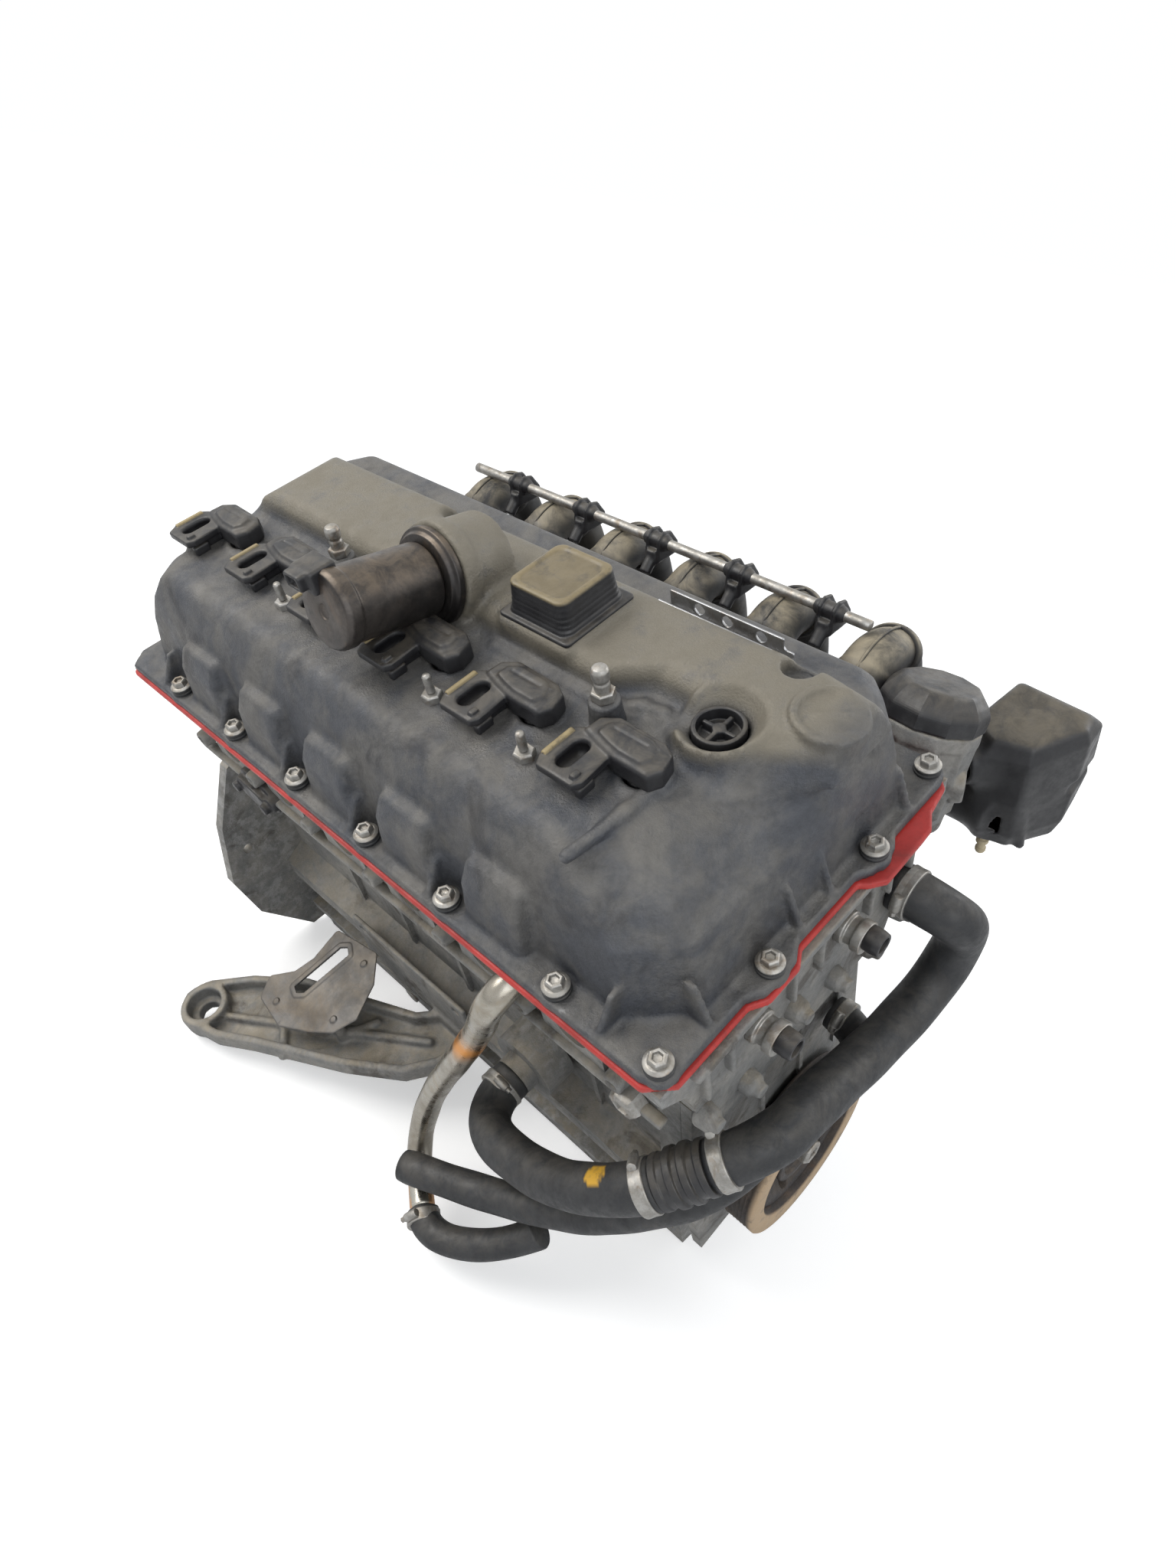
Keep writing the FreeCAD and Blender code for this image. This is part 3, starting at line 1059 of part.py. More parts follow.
# Mount arm on the exhaust side: curved plate, eye, face against the block and the sheet over it
ARM_EDGE = [(-117, 288), (-138, 268), (-160, 215), (-190, 140), (-228, 88), (-264, 54), (-292, 50),
            (-312, 76),
            (-301, 118), (-279, 156), (-259, 195), (-229, 254), (-193, 310), (-160, 334), (-117, 340)]
SHEET_EDGE = [(-223, 119), (-202, 141), (-175, 150), (-138, 148), (-133, 180), (-129, 208), (-153, 231),
              (-189, 244), (-213, 233), (-230, 207), (-247, 172), (-241, 128)]
SLOT_EDGE = [(-209, 155), (-212, 163), (-207, 170), (-150, 181), (-145, 173), (-150, 166)]
SHEET_POSTS = [(-232, 150), (-205, 222)]


def sheet_level(x):
    """Height of the heat shield's lower face, which rises towards the block."""
    return -sheet.arm_depth + 4 + sheet.shield_slope * (x + 262)


def sheet_outline(points, drop, thickness):
    """A flat sheet over the arm, drawn on the shield's sloping plane."""
    corners = [Vector(x, -ahead, sheet_level(x) - drop) for x, ahead in points]
    face = Part.Face(Part.makePolygon(corners + corners[:1]))
    return face.extrude(Vector(-sheet.shield_slope, 0, 1).normalize() * thickness)


def mount_parts():
    arm = prism("mount_bracket_arm", "XY_Plane", [(str(x), str(-ahead)) for x, ahead in ARM_EDGE],
                "-arm_depth - arm_thickness", "arm_thickness")
    ring = rod("mount_bracket_ring", (-286, -76, "-arm_depth - arm_thickness - 4"), 26, "arm_thickness + 4")
    hole = rod("mount_bracket_hole", (-286, -76, -50), 11, 60)
    pad = box("mount_bracket_pad", (-122, -346, -30), (5, 186, 78))
    posts = [rod(f"mount_bracket_post_{count}", (x, -ahead, "-arm_depth - 1"), 5,
                 f"arm_depth + 1 - seat_gap - 1.3 + {sheet_level(x)}")
             for count, (x, ahead) in enumerate(SHEET_POSTS)]
    solid = fuse("mount_bracket_solids", [arm, ring, pad] + posts)
    piece("mount_bracket", [cut("mount_bracket_cut", solid, [hole])])
    plate = sheet_outline(SHEET_EDGE, 0, sheet.shield_thickness)
    plate = plate.cut(sheet_outline(SLOT_EDGE, 3, 8))
    piece("heat_shield", [drawn("heat_shield_sheet", plate)])


crankcase()
bedplate()
oil_sump()
bellhousing_flange()
timing_cover()
head_gasket()
cylinder_head()
cover_gasket()
valves()
valve_cover()
cover_screws()
coils()
spark_plugs()
servo()
filler_cap()
cover_plug()
posts_and_studs()
support_rail()
intake()
throttle()
duct_box()
filter_housing()
crankshaft()
damper_pulley()
pistons()
camshaft("exhaust_camshaft", -1, 100)
camshaft("intake_camshaft", 1, 240)
lift_shaft()
timing_chain()
coolant_parts()
head_fittings()
mount_parts()

doc.recompute()
for item in doc.Objects:
    if "Invalid" in item.State or "Error" in item.State:
        raise RuntimeError(f"{item.Label} failed: {item.State}")
for item in pieces:
    if item.Shape.isNull() or not item.Shape.isValid():
        raise RuntimeError(f"{item.Label} has no valid shape")
os.makedirs("parts", exist_ok=True)
for item in pieces:
    item.Shape.exportStep(f"parts/{item.Label}.step")
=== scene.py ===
# %% [markdown]
# # A straight-six engine, dressed for its portrait
# The engine's frame is packed from CAD: every block, shaft and hose is already in its real place.
# This notebook gives it the skin that the real one shows: castings with soft fillets, dusty plastic, rubber
# hoses, bright pipe and surface rust. The first cells load the frame.

# %% Load the frame
import math
import bpy
import numpy as np
from mathutils import Matrix, Vector


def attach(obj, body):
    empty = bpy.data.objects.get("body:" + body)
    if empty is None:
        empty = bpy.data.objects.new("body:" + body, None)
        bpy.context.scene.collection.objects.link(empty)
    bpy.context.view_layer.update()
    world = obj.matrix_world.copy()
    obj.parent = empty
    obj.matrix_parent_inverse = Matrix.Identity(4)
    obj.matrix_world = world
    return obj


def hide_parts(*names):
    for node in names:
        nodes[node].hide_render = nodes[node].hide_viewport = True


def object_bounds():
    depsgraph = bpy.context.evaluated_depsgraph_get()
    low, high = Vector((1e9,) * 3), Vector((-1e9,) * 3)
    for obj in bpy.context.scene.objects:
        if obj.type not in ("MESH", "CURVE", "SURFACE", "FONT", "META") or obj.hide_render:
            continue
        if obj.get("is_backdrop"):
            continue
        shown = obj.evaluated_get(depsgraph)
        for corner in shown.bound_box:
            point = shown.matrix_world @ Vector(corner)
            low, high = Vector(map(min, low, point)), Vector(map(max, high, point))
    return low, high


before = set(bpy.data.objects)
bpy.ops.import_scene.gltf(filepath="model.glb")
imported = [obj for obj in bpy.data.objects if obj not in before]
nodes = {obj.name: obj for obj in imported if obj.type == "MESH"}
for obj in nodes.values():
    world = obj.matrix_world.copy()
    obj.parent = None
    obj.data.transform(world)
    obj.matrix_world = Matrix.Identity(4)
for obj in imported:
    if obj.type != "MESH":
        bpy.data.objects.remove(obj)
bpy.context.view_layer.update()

# %% [markdown]
# The CAD drew the engine upright in millimetres and leaned it over by 20 degrees at the end. The
# shapes below are worked out the same way, in upright millimetres, with `ahead` counted from the
# crank's rear flange towards the pulley. `lean` turns such points into the frame's metres.

# %% From upright millimetres to the frame
LEAN = math.radians(20)
BORE_SPACING = 91.0
FLANGE_TO_LAST = 90.0
HEAD_BASE = 213.0
FLANGE_TOP = 345.0
CYLINDERS = range(1, 7)


def lean(points):
    """Upright millimetres to the frame's metres: a turn about Y by the lean, then a thousandth."""
    p = np.asarray(points, float)
    x = p[..., 0] * math.cos(LEAN) - p[..., 2] * math.sin(LEAN)
    z = p[..., 0] * math.sin(LEAN) + p[..., 2] * math.cos(LEAN)
    return np.stack([x, p[..., 1], z], axis=-1) / 1000.0


def bore_ahead(number):
    """Distance of a cylinder's centre ahead of the crank flange."""
    return FLANGE_TO_LAST + BORE_SPACING * (6 - number)


print("cylinder 1 stands", bore_ahead(1), "mm ahead of the flange")

# %% [markdown]
# ## Turning numbers into meshes
# Two kinds of surface cover nearly everything here. A hose, a lid or a turned part is a grid: one
# parameter runs along it and the other round it. A casting is a solid body with soft fillets, which
# a grid handles badly, so it is written as a distance field and skinned.

# %% Meshes from arrays
def piece(name, points, faces, body="engine", replaces=(), material=None, smooth=True, marks=None):
    """Puts upright points and polygons of equal length into a mesh that rides on a body. Marks are one
    number per point, which a finish can read to lay paint, dust, rust or a painted highlight in a known
    place."""
    faces = np.asarray(faces, np.int32)
    mesh = bpy.data.meshes.new(name)
    mesh.vertices.add(len(points))
    mesh.vertices.foreach_set("co", lean(points).astype(np.float32).ravel())
    sides = faces.shape[1]
    mesh.loops.add(faces.size)
    mesh.loops.foreach_set("vertex_index", faces.ravel())
    mesh.polygons.add(len(faces))
    mesh.polygons.foreach_set("loop_start", np.arange(0, faces.size, sides, dtype=np.int32))
    mesh.update(calc_edges=True)
    mesh.validate()
    mesh.polygons.foreach_set("use_smooth", np.full(len(mesh.polygons), smooth))
    if marks is not None:
        mark = mesh.attributes.new("mark", "FLOAT", "POINT")
        mark.data.foreach_set("value", np.asarray(marks, np.float32))
    obj = bpy.data.objects.new(name, mesh)
    bpy.context.scene.collection.objects.link(obj)
    if material:
        mesh.materials.append(material)
    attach(obj, body)
    if replaces:
        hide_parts(*replaces)
    return obj


def merged(parts):
    """Several (points, faces) pairs as one pair."""
    points, faces, start = [], [], 0
    for p, f in parts:
        points.append(np.asarray(p, float).reshape(-1, 3))
        faces.append(np.asarray(f) + start)
        start += len(points[-1])
    return np.concatenate(points), np.concatenate(faces)


def grid_faces(rows, columns):
    """Quads of a grid whose columns run round and whose rows run along."""
    i = np.arange(rows - 1)[:, None]
    j = np.arange(columns)[None, :]
    k = (j + 1) % columns
    return np.stack([i * columns + j, i * columns + k, (i + 1) * columns + k, (i + 1) * columns + j],
                    -1).reshape(-1, 4)


def turned(profile, base, axis, around=72):
    """A profile of (radius, height) pairs turned about an axis: base + height*axis + radius*(cos u, sin u).
    Radii of zero at both ends close the poles."""
    profile = np.asarray(profile, float)
    axis = np.asarray(axis, float) / np.linalg.norm(axis)
    side = np.cross(axis, (0.0, 0.0, 1.0) if abs(axis[2]) < 0.9 else (1.0, 0.0, 0.0))
    side /= np.linalg.norm(side)
    other = np.cross(axis, side)
    u = np.linspace(0, 2 * math.pi, around, endpoint=False)
    ring = np.cos(u)[None, :, None] * side + np.sin(u)[None, :, None] * other
    points = np.asarray(base, float) + profile[:, 1, None, None] * axis + profile[:, 0, None, None] * ring
    return points.reshape(-1, 3), grid_faces(len(profile), around)


def rounded(profile, radius=1.0, steps=4):
    """The same profile with each inner corner turned into a short curve, cut back by radius each way."""
    profile = [np.asarray(p, float) for p in profile]
    out = [profile[0]]
    for before, here, after in zip(profile, profile[1:], profile[2:]):
        back, onward = before - here, after - here
        reach = min(radius, np.linalg.norm(back) * 0.45, np.linalg.norm(onward) * 0.45)
        entry = here + back / max(np.linalg.norm(back), 1e-9) * reach
        leave = here + onward / max(np.linalg.norm(onward), 1e-9) * reach
        t = np.linspace(0, 1, steps)[:, None]
        out.extend((1 - t) ** 2 * entry + 2 * t * (1 - t) * here + t ** 2 * leave)
    out.append(profile[-1])
    return np.array(out)


def lathed(profile, soften, base, axis, around):
    """A turned piece whose profile has its corners softened first."""
    return turned(rounded(profile, soften), base, axis, around)


def spline(points, samples=90):
    """A smooth line near its points: a uniform quadratic B-spline clamped at both ends."""
    p = np.asarray(points, float)
    mids = (p[:-1] + p[1:]) / 2
    starts = np.vstack([p[0], mids[1:-1]])
    ends = np.vstack([mids[1:-1], p[-1]])
    corners = p[1:-1]
    per = max(4, samples // len(corners))
    t = np.linspace(0, 1, per, endpoint=False)[None, :, None]
    line = (1 - t) ** 2 * starts[:, None] + 2 * t * (1 - t) * corners[:, None] + t ** 2 * ends[:, None]
    return np.vstack([line.reshape(-1, 3), p[-1]])


def swept(line, radius, around=28):
    """A ring of the given radius, a number or one per sample, carried along a line without twist. Both
    ends close to a point."""
    line = np.asarray(line, float)
    radius = np.broadcast_to(np.asarray(radius, float), (len(line),))
    heading = np.gradient(line, axis=0)
    heading /= np.linalg.norm(heading, axis=1)[:, None]
    side = np.cross(heading, (0.0, 0.0, 1.0))
    weak = np.linalg.norm(side, axis=1) < 0.2
    side[weak] = np.cross(heading[weak], (1.0, 0.0, 0.0))
    normal = side[0] / np.linalg.norm(side[0])
    frames = []
    for direction in heading:
        normal = normal - direction * np.dot(normal, direction)
        normal /= np.linalg.norm(normal)
        frames.append(normal)
    frames = np.array(frames)
    other = np.cross(heading, frames)
    u = np.linspace(0, 2 * math.pi, around, endpoint=False)
    ring = np.cos(u)[None, :, None] * frames[:, None] + np.sin(u)[None, :, None] * other[:, None]
    points = line[:, None] + radius[:, None, None] * ring
    points = np.concatenate([np.repeat(line[:1, None], around, 1), points,
                             np.repeat(line[-1:, None], around, 1)])
    return points.reshape(-1, 3), grid_faces(len(points), around)


print("mesh helpers ready")

# %% [markdown]
# ## Castings as distance fields
# A field holds, at each point of a fine grid, the distance to a shape's skin: negative inside,
# positive outside. The union of two shapes is the smaller of their distances, and a smooth minimum
# leaves a fillet where they meet, exactly as a pattern maker would. `skin` then puts one point in
# every grid cell that the surface passes through, and joins neighbours with quads. A form is a
# distance function with the two corners of its box, so that only nearby samples are worked on.

# %% Distance fields
MARGIN = 8.0


class Casting:
    """A block of space, sampled at equal steps, that shapes are added to and cut from."""

    def __init__(self, low, high, step):
        self.low = np.asarray(low, float)
        self.step = step * 1.0
        self.size = np.ceil((np.asarray(high, float) - self.low) / self.step).astype(int) + 1
        self.values = np.full(self.size, 50.0, np.float32)

    def window(self, low, high):
        """Slices and open coordinate arrays of the samples between two corners."""
        start = np.clip(np.floor((np.asarray(low, float) - self.low) / self.step).astype(int), 0,
                        self.size - 1)
        stop = np.clip(np.ceil((np.asarray(high, float) - self.low) / self.step).astype(int) + 1, 1,
                       self.size)
        cut = tuple(slice(a, b) for a, b in zip(start, stop))
        axes = np.ogrid[cut]
        return cut, [(o + a * self.step).astype(np.float32) for o, a in zip(self.low, axes)]

    def add(self, form, fillet=0.0):
        """Smooth union: the fillet's size is where the two distances begin to mix."""
        shape, low, high = form
        cut, (x, y, z) = self.window(np.asarray(low) - MARGIN - fillet, np.asarray(high) + MARGIN + fillet)
        self.values[cut] = soft_min(self.values[cut], shape(x, y, z), fillet)

    def cut(self, form, fillet=0.0):
        """Smooth difference: the larger of the body's distance and the tool's, turned inside out."""
        shape, low, high = form
        cut, (x, y, z) = self.window(np.asarray(low) - MARGIN - fillet, np.asarray(high) + MARGIN + fillet)
        self.values[cut] = -soft_min(-self.values[cut], shape(x, y, z), fillet)

    def skin(self):
        """Points at the mean of each mixed cell's edge crossings, and quads across the crossed edges."""
        v = np.pad(self.values, 1, constant_values=10.0)
        inside = v < 0
        n = np.array(v.shape)
        corners = [(i, j, k) for i in (0, 1) for j in (0, 1) for k in (0, 1)]
        view = [tuple(slice(c, m - 1 + c) for c, m in zip(corner, n)) for corner in corners]
        count = sum(inside[w].astype(np.int8) for w in view)
        mixed = (count > 0) & (count < 8)
        cells = np.argwhere(mixed)
        number = np.full(mixed.shape, -1, np.int32)
        number[mixed] = np.arange(len(cells))
        values = [v[w][mixed] for w in view]
        total = np.zeros((len(cells), 3))
        hits = np.zeros(len(cells))
        for a in range(8):
            for b in range(a + 1, 8):
                step = np.subtract(corners[b], corners[a])
                if np.abs(step).sum() != 1:
                    continue
                crossed = (values[a] < 0) != (values[b] < 0)
                t = values[a][crossed] / (values[a][crossed] - values[b][crossed])
                total[crossed] += np.asarray(corners[a]) + t[:, None] * step
                hits[crossed] += 1
        points = self.low + self.step * (cells - 1 + total / hits[:, None])
        faces = []
        for axis in range(3):
            first = tuple(slice(0, m - 1) if k == axis else slice(1, m - 1) for k, m in enumerate(n))
            second = tuple(slice(1, m) if k == axis else slice(1, m - 1) for k, m in enumerate(n))
            changed = np.argwhere(inside[first] != inside[second])
            out = inside[first][tuple(changed.T)]
            base = changed + [0 if k == axis else 1 for k in range(3)]
            one, two = [k for k in range(3) if k != axis]
            ring = []
            for da, db in ((1, 1), (0, 1), (0, 0), (1, 0)):
                cell = base.copy()
                cell[:, one] -= da
                cell[:, two] -= db
                ring.append(number[tuple(cell.T)])
            quad = np.stack(ring, 1)
            flip = out if axis != 1 else ~out
            quad[~flip] = quad[~flip][:, ::-1]
            faces.append(quad)
        return points, np.concatenate(faces)


def soft_min(a, b, k):
    """The smaller of two distances, rounded off where they differ by less than k."""
    if k <= 0:
        return np.minimum(a, b)
    h = np.clip(0.5 + 0.5 * (b - a) / k, 0, 1)
    return b + (a - b) * h - k * h * (1 - h)


def soft_max(a, b, k):
    """The larger of two distances, rounded off in the same way."""
    return -soft_min(-a, -b, k)


def block(centre, half, radius=1.0):
    """A rounded box."""
    centre, half = np.asarray(centre, float), np.asarray(half, float)

    def shape(x, y, z):
        qx = np.abs(x - centre[0]) - (half[0] - radius)
        qy = np.abs(y - centre[1]) - (half[1] - radius)
        qz = np.abs(z - centre[2]) - (half[2] - radius)
        outside = np.sqrt(np.maximum(qx, 0) ** 2 + np.maximum(qy, 0) ** 2 + np.maximum(qz, 0) ** 2)
        return outside + np.minimum(np.maximum(np.maximum(qx, qy), qz), 0) - radius
    return shape, centre - half, centre + half


def rod(start, end, radius, end_radius=None, soft=1.0):
    """A straight bar with flat ends, from one centre to the other, tapered if two radii are given."""
    start, end = np.asarray(start, float), np.asarray(end, float)
    length = float(np.linalg.norm(end - start))
    axis = (end - start) / length
    end_radius = radius if end_radius is None else end_radius

    def shape(x, y, z):
        along = (x - start[0]) * axis[0] + (y - start[1]) * axis[1] + (z - start[2]) * axis[2]
        square = (x - start[0]) ** 2 + (y - start[1]) ** 2 + (z - start[2]) ** 2 - along ** 2
        aside = np.sqrt(np.maximum(square, 0)) - (radius + (end_radius - radius) * np.clip(along / length,
                                                                                           0, 1))
        ends = np.abs(along - length / 2) - length / 2
        return soft_max(aside, ends, soft)
    reach = max(radius, end_radius) * np.sqrt(1 - axis ** 2)
    return shape, np.minimum(start, end) - reach, np.maximum(start, end) + reach


def column(x, y, bottom, top, radius, end_radius=None, soft=1.0):
    """An upright rod."""
    return rod((x, y, bottom), (x, y, top), radius, end_radius, soft)


def bar(start, end, radius):
    """A round-ended bar."""
    start, end = np.asarray(start, float), np.asarray(end, float)
    span = end - start
    square = float(span @ span)

    def shape(x, y, z):
        t = ((x - start[0]) * span[0] + (y - start[1]) * span[1] + (z - start[2]) * span[2]) / square
        t = np.clip(t, 0, 1)
        return np.sqrt((x - start[0] - t * span[0]) ** 2 + (y - start[1] - t * span[1]) ** 2
                       + (z - start[2] - t * span[2]) ** 2) - radius
    return shape, np.minimum(start, end) - radius, np.maximum(start, end) + radius


def polygon(x, y, corners):
    """Distance to a closed outline in the plane, negative inside."""
    nearest = None
    inside = None
    for (ax, ay), (bx, by) in zip(corners, np.roll(corners, -1, axis=0)):
        dx, dy = bx - ax, by - ay
        t = np.clip(((x - ax) * dx + (y - ay) * dy) / (dx * dx + dy * dy), 0, 1)
        square = (x - ax - t * dx) ** 2 + (y - ay - t * dy) ** 2
        nearest = square if nearest is None else np.minimum(nearest, square)
        crosses = ((ay > y) != (by > y)) & (x < (bx - ax) * (y - ay) / (by - ay if by != ay else 1e-9) + ax)
        inside = crosses if inside is None else inside ^ crosses
    return np.where(inside, -np.sqrt(nearest), np.sqrt(nearest))


def slab(corners, bottom, top, radius=0.0, soft=1.5):
    """An outline in plan between two levels. The outline's corners are rounded by radius."""
    corners = np.asarray(corners, float)

    def shape(x, y, z):
        wall = polygon(x, y, corners) - radius
        ends = np.abs(z - (top + bottom) / 2) - (top - bottom) / 2
        return soft_max(wall, ends, soft)
    return shape, (*(corners.min(axis=0) - radius), bottom), (*(corners.max(axis=0) + radius), top)


def loft(levels, radius=0.0, soft=2.0):
    """A body whose outline changes smoothly with height. Levels are (z, corners) with equal counts."""
    heights = np.array([z for z, _ in levels], float)
    outlines = np.array([corners for _, corners in levels], float)

    def shape(x, y, z):
        out = np.empty(np.broadcast_shapes(x.shape, y.shape, z.shape), np.float32)
        for k, level in enumerate(z[0, 0]):
            at = np.clip(level, heights[0], heights[-1])
            j = min(max(int(np.searchsorted(heights, at)) - 1, 0), len(heights) - 2)
            t = (at - heights[j]) / (heights[j + 1] - heights[j])
            corners = outlines[j] * (1 - t) + outlines[j + 1] * t
            out[:, :, k] = polygon(x[:, :, 0], y[:, :, 0], corners) - radius
        ends = np.abs(z - (heights[0] + heights[-1]) / 2) - (heights[-1] - heights[0]) / 2
        return soft_max(out, ends, soft)
    low, high = outlines.min(axis=(0, 1)) - radius, outlines.max(axis=(0, 1)) + radius
    return shape, (*low, heights[0]), (*high, heights[-1])


def cast(name, form, material, most=150000, marks=None, **how):
    """Skins a casting. If the mesh is larger than wanted, a Decimate modifier thins its flat parts."""
    points, faces = form.skin()
    how["marks"] = marks(*points.T) if marks else None
    obj = piece(name, points, faces, material=material, **how)
    triangles = 2 * len(faces)
    if triangles > most:
        thin = obj.modifiers.new("thin", "DECIMATE")
        thin.ratio = most / triangles
    print(name, triangles, "triangles before thinning")
    return obj


print("field helpers ready")

# %% [markdown]
# ## Finishes
# An engine that has run for years is never one flat colour. Each finish starts from a base that
# drifts in broad clouds, then gets fine speckle, oil stains that gather in patches, dust on faces
# that look up, and bare edges. All of it is worked out from noise on the object's own coordinates.

# %% A finish from layers of noise
def finish(name, base, drift, size=0.05, rough=(0.55, 0.8), metal=0.0, bump=0.25, grain=0.0012,
           speckle=0.25, dust=None, dusty=0.5, stain=None, stained=0.3, bare=None, worn=0.3,
           mark=None, marked=0.9):
    """Base and drift are colours mixed in clouds of the given size in metres. Dust settles on upward
    faces, stain in patches, bare shows on convex edges, and mark is laid where a piece's marks say."""
    mat = bpy.data.materials.new(name)
    mat.use_nodes = True
    tree = mat.node_tree
    new, join = tree.nodes.new, tree.links.new
    shader = tree.nodes["Principled BSDF"]
    coords = new("ShaderNodeTexCoord").outputs["Object"]

    def noise(scale, detail=4.0, rougher=0.6, skew=0.0):
        node = new("ShaderNodeTexNoise")
        node.inputs["Scale"].default_value = scale
        node.inputs["Detail"].default_value = detail
        node.inputs["Roughness"].default_value = rougher
        node.inputs["Distortion"].default_value = skew
        join(coords, node.inputs["Vector"])
        return node.outputs["Fac"]

    def spread(value, low, high, to_low=0.0, to_high=1.0):
        node = new("ShaderNodeMapRange")
        node.interpolation_type = "SMOOTHSTEP"
        for key, number in (("From Min", low), ("From Max", high), ("To Min", to_low), ("To Max", to_high)):
            node.inputs[key].default_value = number
        join(value, node.inputs["Value"])
        return node.outputs["Result"]

    def times(a, b):
        node = new("ShaderNodeMath")
        node.operation = "MULTIPLY"
        join(a, node.inputs[0])
        if isinstance(b, float):
            node.inputs[1].default_value = b
        else:
            join(b, node.inputs[1])
        return node.outputs[0]

    def mixed(factor, first, second):
        node = new("ShaderNodeMix")
        node.data_type = "RGBA"
        join(factor, node.inputs["Factor"])
        for socket, value in ((node.inputs["A"], first), (node.inputs["B"], second)):
            if isinstance(value, tuple):
                socket.default_value = (*value, 1.0)
            else:
                join(value, socket)
        return node.outputs["Result"]

    clouds = spread(noise(1 / size, 6.0, 0.62, 0.4), 0.38, 0.64)
    colour = mixed(clouds, base, drift)
    fine = spread(noise(1 / (grain * 3), 5.0, 0.7), 0.35, 0.7)
    darker = tuple(v * (1 - speckle) for v in base)
    colour = mixed(times(fine, 0.6), colour, mixed(clouds, darker, tuple(v * (1 - speckle) for v in drift)))
    if stain:
        patch = spread(noise(1 / (size * 1.7), 8.0, 0.68, 1.2), 0.52, 0.66)
        colour = mixed(times(patch, stained), colour, stain)
    if dust:
        facing = new("ShaderNodeNewGeometry")
        split = new("ShaderNodeSeparateXYZ")
        join(facing.outputs["Normal"], split.inputs[0])
        upward = spread(split.outputs["Z"], 0.15, 0.95)
        uneven = spread(noise(1 / (size * 0.7), 7.0, 0.7, 0.6), 0.3, 0.68)
        colour = mixed(times(times(upward, uneven), dusty), colour, dust)
    if bare:
        edges = new("ShaderNodeNewGeometry")
        sharp = spread(edges.outputs["Pointiness"], 0.53, 0.62)
        rubbed = spread(noise(1 / 0.012, 5.0, 0.7), 0.45, 0.62)
        colour = mixed(times(times(sharp, rubbed), worn), colour, bare)
    if mark:
        painted = new("ShaderNodeAttribute")
        painted.attribute_name = "mark"
        patchy = spread(noise(1 / (size * 0.5), 6.0, 0.7), 0.3, 0.5, 0.45, 1.0)
        colour = mixed(times(times(painted.outputs["Fac"], patchy), marked), colour, mark)
    join(colour, shader.inputs["Base Color"])
    roughness = spread(noise(1 / (size * 0.5), 6.0, 0.65), 0.3, 0.7, rough[0], rough[1])
    join(roughness, shader.inputs["Roughness"])
    shader.inputs["Metallic"].default_value = metal
    height = new("ShaderNodeBump")
    height.inputs["Strength"].default_value = bump
    height.inputs["Distance"].default_value = grain
    join(noise(1 / grain, 6.0, 0.65), height.inputs["Height"])
    join(height.outputs["Normal"], shader.inputs["Normal"])
    return mat


# The cover's mark colour is a lighter tan that its marks lay on the top: part dust, part painted highlight
# where the light falls on the ridge.
cover_cast = finish("cover_cast", (0.062, 0.066, 0.076), (0.118, 0.114, 0.108), 0.05, (0.36, 0.68), 0.3,
                    0.45, 0.0018, 0.4, dust=(0.185, 0.172, 0.15), dusty=0.5, stain=(0.026, 0.025, 0.027),
                    stained=0.6, bare=(0.36, 0.36, 0.36), worn=0.4, mark=(0.20, 0.178, 0.135), marked=0.8)
block_cast = finish("block_cast", (0.20, 0.20, 0.195), (0.27, 0.26, 0.24), 0.04, (0.5, 0.8), 0.35, 0.4,
                    0.0016, 0.35, dust=(0.33, 0.28, 0.20), dusty=0.6, stain=(0.06, 0.05, 0.04), stained=0.7,
                    bare=(0.5, 0.5, 0.49), worn=0.3)
black_plastic = finish("black_plastic", (0.012, 0.012, 0.014), (0.022, 0.022, 0.024), 0.03, (0.35, 0.6),
                       0.0, 0.15, 0.0006, 0.2, dust=(0.15, 0.13, 0.10), dusty=0.5, bare=(0.10, 0.10, 0.10),
                       worn=0.3, mark=(0.40, 0.31, 0.15))
dusty_plastic = finish("dusty_plastic", (0.020, 0.020, 0.022), (0.035, 0.034, 0.033), 0.05, (0.45, 0.75),
                       0.0, 0.2, 0.0009, 0.25, dust=(0.36, 0.31, 0.22), dusty=0.95,
                       stain=(0.10, 0.09, 0.07), stained=0.4, bare=(0.16, 0.15, 0.14), worn=0.3)
hose_rubber = finish("hose_rubber", (0.014, 0.015, 0.017), (0.026, 0.027, 0.029), 0.025, (0.42, 0.7), 0.0,
                     0.2, 0.0007, 0.2, dust=(0.11, 0.10, 0.085), dusty=0.5, stain=(0.045, 0.04, 0.035),
                     stained=0.35, mark=(0.75, 0.42, 0.03))
red_seal = finish("red_seal", (0.46, 0.028, 0.022), (0.34, 0.02, 0.016), 0.03, (0.4, 0.6), 0.0, 0.1, 0.001,
                  0.2, stain=(0.10, 0.02, 0.015), stained=0.4)
machined_steel = finish("machined_steel", (0.42, 0.42, 0.43), (0.33, 0.33, 0.33), 0.02, (0.25, 0.45), 0.9,
                        0.1, 0.0008, 0.15, stain=(0.20, 0.14, 0.08), stained=0.35)
zinc_plate = finish("zinc_plate", (0.40, 0.39, 0.37), (0.28, 0.27, 0.25), 0.012, (0.35, 0.6), 0.8, 0.15,
                    0.0007, 0.25, dust=(0.30, 0.25, 0.18), dusty=0.4, stain=(0.16, 0.10, 0.05), stained=0.5)
bright_pipe = finish("bright_pipe", (0.46, 0.44, 0.39), (0.34, 0.31, 0.26), 0.03, (0.2, 0.4), 1.0, 0.08,
                     0.001, 0.12, stain=(0.36, 0.26, 0.14), stained=0.4, mark=(0.85, 0.33, 0.02))
